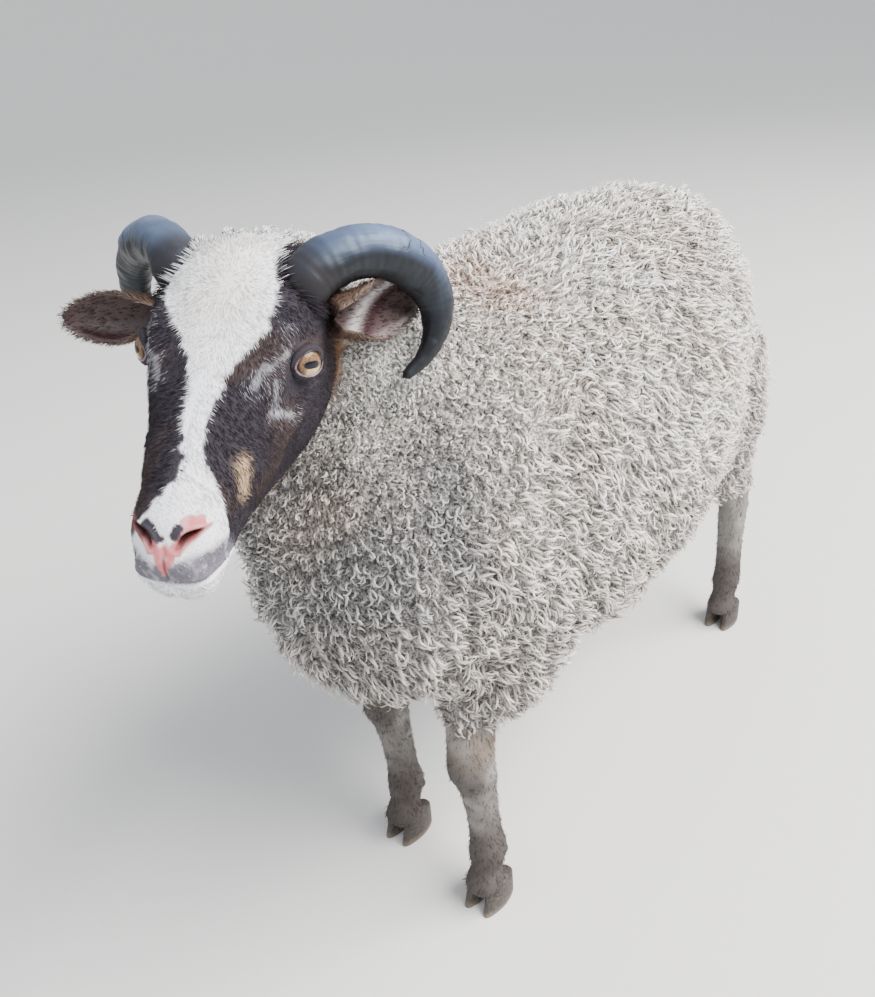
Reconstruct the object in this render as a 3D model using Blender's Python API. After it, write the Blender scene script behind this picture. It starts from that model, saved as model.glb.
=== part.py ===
"""A Shetland sheep standing still at life size: a museum model in woolly fleece, head turned a little to its left.

Metres, +X forward along the body, +Y to the sheep's left, +Z up, soles of the hooves on Z = 0.
The fleece is a core with rounded clumps fused to it, parted into torso, neck and tail by thin cuts.
The head's pieces are made in the head's own frame: x from the poll down the profile, y to its left,
z out of the forehead. Legs, ears and horns are lofts, each seated on its neighbour with a fine gap.
"""

import math
import random

import bmesh
import bpy
import numpy as np
from mathutils import Matrix, Vector
from mathutils.bvhtree import BVHTree

GAP = 0.0003            # clear air kept where two pieces meet
EAR_ROOM = 0.0010       # clear air between an ear and the wool
SIDES = {"left": 1, "right": -1}
SEED = 11

# Fleece: spacing of the clumps on each part, and how far they rise for that spacing
TORSO_PITCH = 0.081
NECK_PITCH = 0.064
TAIL_PITCH = 0.033
HEM_PITCH = 0.054
RISE_PER_PITCH = 0.34
CLUMP_SIDES = 6
CLUMP_TRIES = 4000

# Outline of the woolled body at the clump tips: place along X, back, belly, half width
BODY_SECTIONS = (
    (-0.405, 0.604, 0.370, 0.100),
    (-0.345, 0.653, 0.300, 0.131),
    (-0.220, 0.674, 0.258, 0.174),
    (-0.070, 0.674, 0.243, 0.200),
    (0.080, 0.670, 0.246, 0.194),
    (0.200, 0.656, 0.266, 0.164),
    (0.300, 0.600, 0.312, 0.124),
)
RUMP_END = -0.434
BREAST_END = 0.372
BODY_SIDES = 18
BODY_STEP = 0.060
BODY_SQUARENESS = 2.35

# Neck outline from shoulder to nape: centre, rise and turn of the section, half height, half width
NECK_SECTIONS = (
    (0.120, 0.000, 0.480, 35, 0, 0.160, 0.150),
    (0.180, -0.004, 0.530, 42, 0, 0.150, 0.142),
    (0.225, -0.012, 0.575, 38, 4, 0.128, 0.124),
    (0.264, -0.020, 0.612, 20, 12, 0.102, 0.106),
    (0.298, -0.026, 0.636, -4, 20, 0.086, 0.092),
)
NECK_RINGS = 8
NECK_DOME = 0.022       # the ruff's front swells this far past the last section

# Woolly sleeves that carry the fleece down the legs: top, hem and radii at the clump tips
THIGH = (Vector((-0.300, 0.079, 0.470)), Vector((-0.384, 0.094, 0.228)), (0.102, 0.096, 0.071, 0.045))
FOREARM = (Vector((0.150, 0.086, 0.420)), Vector((0.188, 0.080, 0.272)), (0.098, 0.092, 0.078, 0.056))
RIGHT_FOREARM_BACK = 0.030
HEM_LEVEL = 0.300
SLEEVE_SIDES = 10

# Tail: a short woolly flap laid against the rump
TAIL_PATH = (
    (Vector((-0.390, 0, 0.588)), 0.028, 0.020),
    (Vector((-0.408, 0, 0.548)), 0.031, 0.021),
    (Vector((-0.420, 0, 0.500)), 0.025, 0.018),
    (Vector((-0.425, 0, 0.452)), 0.015, 0.012),
)
TAIL_SIDES = 8

# The planes that part the fleece: neck from torso, and tail from torso
SHOULDER_CUT = Vector((0.225, 0.0, 0.585))
SHOULDER_NORMAL = Vector((0.62, 0.0, 0.78)).normalized()
TAIL_CUT = Vector((-0.411, 0.0, 0.530))
TAIL_NORMAL = Vector((-0.97, 0.0, 0.24)).normalized()

# Head: where the poll is, how the head is turned to the left, dipped, and tilted left side down
POLL = Vector((0.3427, -0.0131, 0.7491))
HEAD_TURN = math.radians(20.0)
HEAD_DIP = math.radians(36.4)
HEAD_TILT = math.radians(-6.7)
HEAD_SECTIONS = (
    # along the profile, brow, level of greatest width, chin, half width, squareness above and below
    (-0.050, -0.066, -0.086, -0.112, 0.036, 2.0, 2.0),
    (-0.020, -0.030, -0.066, -0.128, 0.051, 2.2, 2.1),
    (0.002, -0.009, -0.054, -0.136, 0.058, 2.5, 2.3),
    (0.024, 0.002, -0.046, -0.142, 0.060, 2.7, 2.5),
    (0.056, 0.002, -0.040, -0.145, 0.059, 2.9, 2.6),
    (0.084, -0.001, -0.036, -0.144, 0.057, 2.8, 2.6),
    (0.120, -0.003, -0.044, -0.133, 0.050, 2.6, 2.5),
    (0.155, -0.004, -0.046, -0.112, 0.0390, 2.4, 2.4),
    (0.188, -0.005, -0.043, -0.090, 0.0310, 2.3, 2.3),
    (0.212, -0.008, -0.041, -0.080, 0.0300, 2.3, 2.3),
    (0.231, -0.018, -0.045, -0.073, 0.0250, 2.2, 2.2),
)
MUZZLE_END = 0.241
HEAD_SIDES = 18
HEAD_STEP = 0.0160

EYE_CENTRE = Vector((0.0805, 0.0490, -0.0305))
EYE_RADIUS = 0.0135
EYE_AXIS = Vector((0.30, 0.91, 0.24)).normalized()
LID_RADIUS = 0.0030
LID_HALF_LENGTH = 0.0125
LID_HALF_OPEN = 0.0068
LID_POINTS = 12

MOUTH_CENTRE = Vector((0.204, 0.0, -0.0625))
MOUTH_RISE = math.radians(31)
MOUTH_HALF_TURN = math.radians(96)
MOUTH_POINTS = 11
MOUTH_GROOVE = 0.0016
MOUTH_DEPTH = 0.0050
LIP_RADIUS = 0.0030
LIP_SPREAD = 0.0042
NOSTRIL_CENTRE = Vector((0.2170, 0.0165, -0.0165))
NOSTRIL_ALONG = Vector((-0.78, 0.60, 0.16)).normalized()
NOSTRIL_OUT = Vector((0.55, 0.75, 0.35)).normalized()
NOSTRIL_HALF = Vector((0.0095, 0.0060, 0.0028))

# Ears, as on the left side: root, tip and the way the cup opens; each is carried its own way
EARS = {
    "left": (Vector((0.034, 0.054, -0.046)), Vector((-0.022, 0.110, -0.088)), Vector((0.34, 0.78, 0.53))),
    "right": (Vector((0.044, 0.052, -0.040)), Vector((0.045, 0.141, -0.054)), Vector((0.60, 0.27, 0.74))),
}
EAR_THICKNESS = 0.0030
EAR_SECTIONS = (
    # along the ear from 0 to 1, half width, half the angle that the cup wraps
    (0.00, 0.0125, 150),
    (0.18, 0.0165, 125),
    (0.36, 0.0195, 95),
    (0.55, 0.0200, 72),
    (0.74, 0.0165, 55),
    (0.90, 0.0095, 45),
)
EAR_POINTS = 5

HORN_ROOT = Vector((0.0233, 0.0468, -0.0172))
HORN_BED = Vector((0.032, 0.030, -0.036))
HORN_OUTWARD = Vector((-0.309, -0.568, 0.763))
HORN_SWEEP = Vector((-0.596, 0.741, 0.310))
HORN_DRIFT = Vector((-0.741, -0.359, -0.567)) * 0.0591
HORN_TURN = math.radians(177)
HORN_CURL = (0.0540, 0.0701)
HORN_RADII = (0.0194, 0.0190, 0.0188, 0.0184, 0.0160, 0.0118, 0.0080, 0.0030)
HORN_STOUTNESS = {"left": 1.0, "right": 0.92}
HORN_SETTLE = {"left": Vector(), "right": Vector((0.0, -0.003, -0.008))}
HORN_FLARE_WAY = Vector((0.500, 0.194, 0.844))   # the lower half swings out of the wool this way
HORN_FLARE = {"left": 0.055, "right": 0.012}
HORN_RINGS = 18
HORN_SIDES = 10

# Legs from the fleece down: height, how far ahead of the hoof, half width, half depth
FORELEG = (
    (0.365, -0.004, 0.036, 0.046),
    (0.310, -0.006, 0.030, 0.036),
    (0.262, -0.002, 0.0240, 0.0275),
    (0.226, 0.010, 0.0225, 0.0240),
    (0.204, 0.014, 0.0230, 0.0240),
    (0.180, 0.008, 0.0180, 0.0195),
    (0.135, 0.001, 0.0138, 0.0158),
    (0.095, -0.003, 0.0142, 0.0168),
    (0.071, -0.005, 0.0178, 0.0205),
    (0.050, -0.001, 0.0160, 0.0180),
    (0.031, 0.005, 0.0205, 0.0215),
)
HINDLEG = (
    (0.390, 0.070, 0.036, 0.060),
    (0.330, 0.046, 0.030, 0.044),
    (0.280, 0.008, 0.0260, 0.0340),
    (0.248, -0.014, 0.0200, 0.0285),
    (0.222, -0.016, 0.0190, 0.0250),
    (0.190, -0.010, 0.0190, 0.0215),
    (0.140, -0.010, 0.0175, 0.0190),
    (0.100, -0.011, 0.0175, 0.0195),
    (0.073, -0.010, 0.0180, 0.0210),
    (0.050, -0.003, 0.0160, 0.0180),
    (0.031, 0.005, 0.0200, 0.0215),
)
LEG_SIDES = 10
LEG_LEAN = 0.13         # how fast a leg draws in to the middle above its straight stretch
LEG_LEAN_FROM = 0.20
HOOVES = {
    "foreleg_left": Vector((0.222, 0.071, 0.0)),
    "foreleg_right": Vector((0.190, -0.062, 0.0)),
    "hindleg_left": Vector((-0.388, 0.110, 0.0)),
    "hindleg_right": Vector((-0.362, -0.104, 0.0)),
}
CLAW_HALF_LENGTH = 0.0265
CLAW_HALF_WIDTH = 0.0105
CLAW_CLEFT = 0.0030
CLAW_TOP_SCALE = 0.80
CLAW_TOP_BACK = 0.0045
CLAW_POINTS = 10
DEWCLAW_PLACE = Vector((-0.021, 0.0085, 0.060))
DEWCLAW_HALF = Vector((0.0055, 0.0042, 0.0070))

PAINTS = {
    "fleece": (0.55, 0.49, 0.43, 0.95),
    "face_hair": (0.045, 0.030, 0.028, 0.80),
    "leg_hair": (0.22, 0.17, 0.14, 0.85),
    "horn": (0.055, 0.055, 0.060, 0.45),
    "eye": (0.42, 0.27, 0.09, 0.08),
    "hoof": (0.035, 0.030, 0.028, 0.55),
}


def clear_scene():
    for obj in list(bpy.data.objects):
        bpy.data.objects.remove(obj)


def material(name):
    found = bpy.data.materials.get(name)
    if found:
        return found
    red, green, blue, roughness = PAINTS[name]
    made = bpy.data.materials.new(name)
    made.use_nodes = True
    shader = made.node_tree.nodes["Principled BSDF"]
    shader.inputs["Base Color"].default_value = (red, green, blue, 1.0)
    shader.inputs["Roughness"].default_value = roughness
    shader.inputs["Metallic"].default_value = 0.0
    return made


def add_empty(name, place, parent=None):
    empty = bpy.data.objects.new(name, None)
    empty.matrix_world = place
    empty.parent = parent
    bpy.context.scene.collection.objects.link(empty)
    return empty


def add_object(name, bm, paint, frame=None):
    """Links a bmesh as an object; frame is the empty whose axes its points are given in."""
    mesh = bpy.data.meshes.new(name)
    bm.to_mesh(mesh)
    bm.free()
    mesh.materials.append(material(paint))
    obj = bpy.data.objects.new(name, mesh)
    obj.parent = frame
    bpy.context.scene.collection.objects.link(obj)
    return obj


def smooth_value(knots, values, x):
    """Value at x of a smooth curve through the knots, held level outside them."""
    if x <= knots[0]:
        return values[0]
    if x >= knots[-1]:
        return values[-1]
    i = max(k for k in range(len(knots) - 1) if knots[k] <= x)
    before, after = max(i - 1, 0), min(i + 2, len(knots) - 1)
    span = knots[i + 1] - knots[i]
    slope_in = (values[i + 1] - values[before]) / (knots[i + 1] - knots[before]) * span
    slope_out = (values[after] - values[i]) / (knots[after] - knots[i]) * span
    t = (x - knots[i]) / span
    return (
        (2 * t**3 - 3 * t**2 + 1) * values[i] + (t**3 - 2 * t**2 + t) * slope_in
        + (3 * t**2 - 2 * t**3) * values[i + 1] + (t**3 - t**2) * slope_out
    )


def section_at(table, x):
    """All columns of a table of sections, read at x of its first column."""
    columns = list(zip(*table))
    return [smooth_value(columns[0], column, x) for column in columns[1:]]


def evenly(first, last, count):
    return [first + (last - first) * k / (count - 1) for k in range(count)]


def turns(count, start=0.0):
    return [start + 2 * math.pi * k / count for k in range(count)]


def superellipse(turn, squareness):
    """Unit offsets across and up at this turn round a squared-off circle."""
    power = 2.0 / squareness
    c, s = math.cos(turn), math.sin(turn)
    return math.copysign(abs(c) ** power, c), math.copysign(abs(s) ** power, s)


def loft(rings, first_pole=None, last_pole=None):
    """A closed skin through rings of equal length, each end a flat cap or drawn in to a pole."""
    bm = bmesh.new()
    loops = [[bm.verts.new(point) for point in ring] for ring in rings]
    count = len(loops[0])
    for low, high in zip(loops, loops[1:]):
        for i in range(count):
            j = (i + 1) % count
            bm.faces.new((low[i], low[j], high[j], high[i]))
    for loop, pole in ((loops[0], first_pole), (loops[-1], last_pole)):
        if pole is None:
            bm.faces.new(loop)
            continue
        tip = bm.verts.new(pole)
        for i in range(count):
            bm.faces.new((loop[i], loop[(i + 1) % count], tip))
    return finish_mesh(bm)


def finish_mesh(bm):
    bmesh.ops.recalc_face_normals(bm, faces=bm.faces)
    bmesh.ops.triangulate(bm, faces=bm.faces)
    return bm


def ellipsoid(half, segments=10, rings=6):
    bm = bmesh.new()
    bmesh.ops.create_uvsphere(bm, u_segments=segments, v_segments=rings, radius=1.0)
    bmesh.ops.scale(bm, vec=half, verts=bm.verts)
    return finish_mesh(bm)


def moved(bm, matrix):
    bmesh.ops.transform(bm, matrix=matrix, verts=bm.verts)
    return bm


def sided(bm, side):
    """Mirrors a left-hand mesh across the middle plane when side is -1."""
    if side < 0:
        bmesh.ops.scale(bm, vec=(1, -1, 1), verts=bm.verts)
        bmesh.ops.recalc_face_normals(bm, faces=bm.faces)
    return bm


def tube(points, radius, sides):
    """A closed loop of tube round a ring of points."""
    bm = bmesh.new()
    count = len(points)
    middle = sum(points, Vector()) / count
    loops = []
    for k, point in enumerate(points):
        along = (points[(k + 1) % count] - points[k - 1]).normalized()
        out = point - middle
        out = (out - along * out.dot(along)).normalized()
        up = along.cross(out)
        loops.append([
            bm.verts.new(point + (out * math.cos(a) + up * math.sin(a)) * radius) for a in turns(sides)
        ])
    for k in range(count):
        low, high = loops[k], loops[(k + 1) % count]
        for i in range(sides):
            j = (i + 1) % sides
            bm.faces.new((low[i], low[j], high[j], high[i]))
    return finish_mesh(bm)


def bar(points, radii, sides):
    """A bar through open points, with a radius at each and a pole at both ends."""
    rings = []
    for k, point in enumerate(points):
        along = (points[min(k + 1, len(points) - 1)] - points[max(k - 1, 0)]).normalized()
        side = along.orthogonal().normalized() if k == 0 else (side - along * side.dot(along)).normalized()
        up = along.cross(side)
        rings.append([point + (side * math.cos(a) + up * math.sin(a)) * radii[k] for a in turns(sides)])
    start = points[0] - (points[1] - points[0]).normalized() * radii[0] * 0.6
    end = points[-1] + (points[-1] - points[-2]).normalized() * radii[-1] * 1.2
    return loft(rings, start, end)


def apply_modifiers(obj):
    graph = bpy.context.evaluated_depsgraph_get()
    graph.update()
    mesh = bpy.data.meshes.new_from_object(obj.evaluated_get(graph))
    obj.modifiers.clear()
    obj.data = mesh


def join(obj, others, solver="EXACT"):
    """Fuses closed meshes to obj in one union and removes them."""
    group = bpy.data.collections.new("pieces to join")
    bpy.context.scene.collection.children.link(group)
    for other in others:
        bpy.context.scene.collection.objects.unlink(other)
        group.objects.link(other)
    union = obj.modifiers.new("join", "BOOLEAN")
    union.operation = "UNION"
    union.solver = solver
    union.operand_type = "COLLECTION"
    union.collection = group
    apply_modifiers(obj)
    for other in others:
        bpy.data.objects.remove(other)
    bpy.data.collections.remove(group)


def cut(obj, cutters, solver="EXACT"):
    """Takes each closed mesh away from obj; the cutters are removed."""
    for cutter in cutters:
        difference = obj.modifiers.new("cut", "BOOLEAN")
        difference.operation = "DIFFERENCE"
        difference.solver = solver
        difference.object = cutter
    apply_modifiers(obj)
    for cutter in cutters:
        bpy.data.objects.remove(cutter)


def keep_largest(obj):
    """Keeps the largest closed surface, which fills sealed hollows and drops loose scraps."""
    bm = bmesh.new()
    bm.from_mesh(obj.data)
    bmesh.ops.triangulate(bm, faces=bm.faces)
    left, shells = set(bm.verts), []
    while left:
        shell, front = set(), [left.pop()]
        while front:
            vert = front.pop()
            shell.add(vert)
            for edge in vert.link_edges:
                other = edge.other_vert(vert)
                if other in left:
                    left.remove(other)
                    front.append(other)
        shells.append(shell)
    shells.sort(key=len)
    scraps = [vert for shell in shells[:-1] for vert in shell]
    bmesh.ops.delete(bm, geom=scraps, context="VERTS")
    bm.to_mesh(obj.data)
    bm.free()


def half_space(point, normal):
    """A large block on the side of a plane that its normal points to."""
    size = 3.0
    bm = bmesh.new()
    bmesh.ops.create_cube(bm, size=size)
    turn = normal.to_track_quat("Z", "Y").to_matrix().to_4x4()
    moved(bm, Matrix.Translation(point + normal * size / 2) @ turn)
    return add_object("half space", finish_mesh(bm), "fleece")


def axes_at(place, along, toward):
    """Matrix with x along one direction and y as near as can be to the other."""
    up = along.cross(toward).normalized()
    out = up.cross(along)
    return Matrix.Translation(place) @ Matrix((along, out, up)).transposed().to_4x4()


def copy_of(obj, name):
    copied = obj.copy()
    copied.data = obj.data.copy()
    copied.name = name
    bpy.context.scene.collection.objects.link(copied)
    return copied


# Fleece core

def body_ring(x, inset):
    knots = [section[0] for section in BODY_SECTIONS]
    top, bottom, half = section_at(BODY_SECTIONS, x)
    # past the first and last section the body rounds in to its ends
    rounding = 1.0
    if x < knots[0]:
        rounding = math.sqrt(1 - ((knots[0] - x) / (knots[0] - RUMP_END)) ** 2)
    if x > knots[-1]:
        rounding = math.sqrt(1 - ((x - knots[-1]) / (BREAST_END - knots[-1])) ** 2)
    tall = (top - bottom) / 2 * rounding - inset
    wide = half * rounding - inset
    offsets = [superellipse(a, BODY_SQUARENESS) for a in turns(BODY_SIDES)]
    return [Vector((x, across * wide, (top + bottom) / 2 + up * tall)) for across, up in offsets]


def body_core(inset):
    first, last = RUMP_END + inset, BREAST_END - inset
    count = round((last - first) / BODY_STEP)
    step = (last - first) / count
    rings = [body_ring(first + step * (k + 0.5), inset) for k in range(count)]
    poles = [sum(ring, Vector()) / BODY_SIDES for ring in (rings[0], rings[-1])]
    poles[0].x, poles[1].x = first, last
    return loft(rings, *poles)


def neck_core(inset):
    rings = []
    for t in evenly(0, len(NECK_SECTIONS) - 1, NECK_RINGS):
        numbered = [(k, *section) for k, section in enumerate(NECK_SECTIONS)]
        x, y, z, rise, turn, half_height, half_width = section_at(numbered, t)
        rise, turn = math.radians(rise), math.radians(turn)
        ahead = Vector((math.cos(rise) * math.cos(turn), math.cos(rise) * math.sin(turn), math.sin(rise)))
        side = Vector((0, 0, 1)).cross(ahead).normalized()
        up = ahead.cross(side)
        centre = Vector((x, y, z))
        rings.append([
            centre + side * math.cos(a) * (half_width - inset) + up * math.sin(a) * (half_height - inset)
            for a in turns(BODY_SIDES)
        ])
    return loft(rings, None, centre + ahead * NECK_DOME)


def sleeve_core(sleeve, side, inset, back=0.0):
    top, hem, radii = sleeve
    rings = []
    for t in evenly(0, 1, 5):
        centre = top.lerp(hem, t) - Vector((back, 0, 0))
        radius = smooth_value((0, 1 / 3, 2 / 3, 1), radii, t) - inset
        rings.append([
            centre + Vector((math.cos(a) * radius * 1.05, math.sin(a) * radius * 0.80, 0))
            for a in turns(SLEEVE_SIDES)
        ])
    return sided(loft(rings), side)


def tail_core(inset):
    rings = []
    for centre, half_width, half_depth in TAIL_PATH:
        rings.append([
            centre + Vector((math.cos(a) * (half_depth - inset / 2), math.sin(a) * (half_width - inset / 2), 0))
            for a in turns(TAIL_SIDES)
        ])
    return loft(rings, TAIL_PATH[0][0] + Vector((0.02, 0, 0.004)), TAIL_PATH[-1][0] - Vector((0, 0, 0.012)))


# Fleece clumps

def wool_lie(point, normal):
    """The way the wool falls here: down from the middle of the back, and towards the rump."""
    fall = Vector((-0.55, 0.35 * math.copysign(1, point.y), -0.80))
    if point.x > SHOULDER_CUT.x:
        fall = Vector((-0.15, 0.30 * math.copysign(1, point.y), -1.0))
    return (fall - normal * fall.dot(normal)).normalized()


def clump_pitch(point, normal, head_inverse):
    """Spacing of the clumps at this point of the core, or 0 under a hem and where the bare head stands."""
    if point.z < THIGH[1].z + GAP:
        return 0
    in_head = head_inverse @ point
    if in_head.x > 0.035 and in_head.z > -0.13 and abs(in_head.y) < 0.08:
        return 0
    if (point - TAIL_CUT).dot(TAIL_NORMAL) > 0:
        return TAIL_PITCH
    if (point - SHOULDER_CUT).dot(SHOULDER_NORMAL) > 0:
        return NECK_PITCH
    return HEM_PITCH if point.z < HEM_LEVEL and normal.z > -0.5 else TORSO_PITCH


def spread_points(obj, pitch_at):
    """Points spread evenly over a mesh: each new one is the place furthest from those before it."""
    draw = random.Random(SEED)
    bm = bmesh.new()
    bm.from_mesh(obj.data)
    bmesh.ops.triangulate(bm, faces=bm.faces)
    faces = list(bm.faces)
    places = []
    for face in draw.choices(faces, [face.calc_area() for face in faces], k=CLUMP_TRIES):
        a, b = sorted((draw.random(), draw.random()))
        corners = [vert.co for vert in face.verts]
        point = corners[0] * a + corners[1] * (b - a) + corners[2] * (1 - b)
        pitch = pitch_at(point, face.normal)
        if pitch:
            places.append((point, face.normal.copy(), pitch))
    bm.free()
    spots = np.array([point for point, _, _ in places])
    pitches = np.array([pitch for _, _, pitch in places])
    kept, chosen = [], 0
    nearest = np.full(len(places), np.inf)
    while nearest[chosen] > pitches[chosen]:
        kept.append(places[chosen])
        nearest = np.minimum(nearest, np.linalg.norm(spots - spots[chosen], axis=1))
        chosen = int(np.argmax(nearest / pitches))
    return kept


def clump(root, normal, pitch, draw):
    """One rounded clump: sunk root, full belly, shoulder and a crown bent along the lie."""
    lie = wool_lie(root, normal)
    across = normal.cross(lie)
    start = draw.uniform(0, math.pi)
    fat = pitch * draw.uniform(0.68, 0.74)
    rise = pitch * RISE_PER_PITCH * draw.uniform(0.90, 1.08)
    rings = [
        [
            root + normal * rise * up + lie * (pitch * bend + math.cos(a) * fat * wide * 1.12)
            + across * math.sin(a) * fat * wide
            for a in turns(CLUMP_SIDES, start)
        ]
        for up, wide, bend in ((0.20, 1.00, 0.00), (0.74, 0.70, 0.08))
    ]
    return loft(rings, root - normal * rise * 0.7, root + normal * rise + lie * pitch * 0.16)


def build_fleece(sheep, head_frame):
    """One fused fleece of body, neck, thighs and tail, parted afterwards into its three nodes."""
    torso_inset = TORSO_PITCH * RISE_PER_PITCH
    neck_inset = NECK_PITCH * RISE_PER_PITCH
    fleece = add_object("torso", body_core(torso_inset), "fleece", sheep)
    cores = [add_object("neck core", neck_core(neck_inset), "fleece")]
    for side in (1, -1):
        back = RIGHT_FOREARM_BACK if side < 0 else 0.0
        cores.append(add_object("thigh core", sleeve_core(THIGH, side, neck_inset), "fleece"))
        cores.append(add_object("forearm core", sleeve_core(FOREARM, side, neck_inset, back), "fleece"))
    cores.append(add_object("tail core", tail_core(TAIL_PITCH * RISE_PER_PITCH), "fleece"))
    join(fleece, cores)
    head_inverse = head_frame.matrix_world.inverted()
    places = spread_points(fleece, lambda point, normal: clump_pitch(point, normal, head_inverse))
    draw = random.Random(SEED)
    clumps = [add_object("clump", clump(*place, draw), "fleece") for place in places]
    join(fleece, clumps)
    keep_largest(fleece)

    neck, tail = copy_of(fleece, "neck"), copy_of(fleece, "tail")
    half = GAP / 2
    cut(neck, [half_space(SHOULDER_CUT + SHOULDER_NORMAL * half, -SHOULDER_NORMAL)])
    cut(tail, [half_space(TAIL_CUT + TAIL_NORMAL * half, -TAIL_NORMAL)])
    cut(fleece, [
        half_space(SHOULDER_CUT - SHOULDER_NORMAL * half, SHOULDER_NORMAL),
        half_space(TAIL_CUT - TAIL_NORMAL * half, TAIL_NORMAL),
    ])
    for piece in (neck, tail, fleece):
        keep_largest(piece)
    return fleece, neck, tail


# Head, in its own frame

def head_matrix():
    turned = Matrix.Rotation(HEAD_TURN, 4, "Z") @ Matrix.Rotation(HEAD_DIP, 4, "Y")
    return Matrix.Translation(POLL) @ turned @ Matrix.Rotation(HEAD_TILT, 4, "X")


def head_ring(s, grow):
    top, level, bottom, half, square_above, square_below = section_at(HEAD_SECTIONS, s)
    ring = []
    for a in turns(HEAD_SIDES):
        above = math.sin(a) >= 0
        across, up = superellipse(a, square_above if above else square_below)
        reach = (top - level if above else level - bottom) + grow
        ring.append(Vector((s, across * (half + grow), level + up * reach)))
    return ring


def head_loft(grow=0.0):
    first, last = HEAD_SECTIONS[0][0], HEAD_SECTIONS[-1][0]
    count = round((last - first) / HEAD_STEP)
    rings = [head_ring(s, grow) for s in evenly(first, last, count)]
    ends = [sum(ring, Vector()) / HEAD_SIDES for ring in (rings[0], rings[-1])]
    ends[0].x -= 0.010 + grow
    ends[1].x = MUZZLE_END + grow
    return loft(rings, *ends)


def lid_loop(side):
    """Almond-shaped rim of both lids, bent to the ball of the eye."""
    along = Vector((0.80, 0, 0.60))
    along = (along - EYE_AXIS * along.dot(EYE_AXIS)).normalized()
    up = EYE_AXIS.cross(along)
    points = []
    for a in turns(LID_POINTS):
        u = math.cos(a) * LID_HALF_LENGTH
        v = math.copysign(abs(math.sin(a)) ** 1.3, math.sin(a)) * LID_HALF_OPEN
        reach = EYE_RADIUS + LID_RADIUS * 0.35
        out = math.sqrt(max(reach**2 - u**2 - v**2, 0))
        points.append(EYE_CENTRE + along * u + up * v + EYE_AXIS * out)
    return sided(tube(points, LID_RADIUS, 6), side)


def mouth_arc(surface, centre):
    """Points where the mouth's plane leaves the muzzle, from one corner round the front to the other."""
    tree = BVHTree.FromBMesh(surface)
    points = []
    for a in evenly(-MOUTH_HALF_TURN, MOUTH_HALF_TURN, MOUTH_POINTS):
        ray = Vector((math.cos(a), math.sin(a), math.cos(a) * math.tan(MOUTH_RISE)))
        points.append(tree.ray_cast(centre, ray.normalized())[0])
    return points


def build_head(sheep, head_frame):
    head = add_object("head", head_loft(), "face_hair", head_frame)
    surface = head_loft()
    forms = []
    for offset in (LIP_SPREAD, -LIP_SPREAD):
        arc = mouth_arc(surface, MOUTH_CENTRE + Vector((0, 0, offset)))
        radii = [LIP_RADIUS * (0.5 + 0.5 * math.sin(math.pi * (k + 0.5) / len(arc))) for k in range(len(arc))]
        inward = [point.lerp(MOUTH_CENTRE, 0.03) for point in arc]
        forms.append(add_object("lip", bar(inward, radii, 6), "face_hair", head_frame))
    surface.free()
    for side in (1, -1):
        forms.append(add_object("lids", lid_loop(side), "face_hair", head_frame))
    join(head, forms)
    cutters = []
    for side in (1, -1):
        socket = moved(ellipsoid(Vector([EYE_RADIUS + GAP] * 3), 12, 8), Matrix.Translation(EYE_CENTRE))
        cutters.append(add_object("socket", sided(socket, side), "eye", head_frame))
        slit = moved(ellipsoid(NOSTRIL_HALF, 8, 6), axes_at(NOSTRIL_CENTRE, NOSTRIL_ALONG, NOSTRIL_OUT))
        cutters.append(add_object("nostril", sided(slit, side), "face_hair", head_frame))
    cutters.append(add_object("mouth", mouth_groove(), "face_hair", head_frame))
    cut(head, cutters)
    keep_largest(head)
    return head


def mouth_groove():
    """A thin horseshoe that opens the line of the mouth round the muzzle."""
    surface = head_loft(0.004)
    outer = mouth_arc(surface, MOUTH_CENTRE)
    surface.free()
    lift = Vector((0, 0, MOUTH_GROOVE / 2))
    inner = [point + (MOUTH_CENTRE - point).normalized() * (0.004 + MOUTH_DEPTH) for point in outer]
    rings = [
        [far + lift, far - lift, near - lift, near + lift] for far, near in zip(outer, inner)
    ]
    return loft(rings)


def build_eyes(head_frame):
    for word, side in SIDES.items():
        ball = moved(ellipsoid(Vector([EYE_RADIUS] * 3), 12, 8), Matrix.Translation(EYE_CENTRE))
        add_object(f"eye_{word}", sided(ball, side), "eye", head_frame)


def ear_loft(word, grow=0.0):
    root, tip, opens = EARS[word]
    along = (tip - root).normalized()
    opens = (opens - along * opens.dot(along)).normalized()
    across = along.cross(opens)
    rings = []
    for t, half_width, wrap in EAR_SECTIONS:
        wrap = math.radians(wrap)
        radius = half_width / math.sin(min(wrap, math.pi / 2))
        middle = root.lerp(tip, t) + opens * radius
        thick = EAR_THICKNESS * (1 - 0.45 * t) / 2 + grow
        spread = wrap + grow / radius
        bends = evenly(-spread, spread, EAR_POINTS)
        outer = [middle + (across * math.sin(a) - opens * math.cos(a)) * (radius + thick) for a in bends]
        inner = [middle + (across * math.sin(a) - opens * math.cos(a)) * (radius - thick) for a in bends]
        rings.append(outer + inner[::-1])
    return sided(loft(rings, None, tip + along * grow), SIDES[word])


def horn_point(t, word):
    curl = HORN_CURL[0] + (HORN_CURL[1] - HORN_CURL[0]) * t
    turned = HORN_OUTWARD * math.cos(HORN_TURN * t) + HORN_SWEEP * math.sin(HORN_TURN * t)
    aside = HORN_SETTLE[word] * min(1, 2.5 * t) + HORN_FLARE_WAY * HORN_FLARE[word] * max(0, 2 * t - 1) ** 1.5
    return HORN_ROOT - HORN_OUTWARD * HORN_CURL[0] + turned * curl + HORN_DRIFT * t + aside


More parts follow.
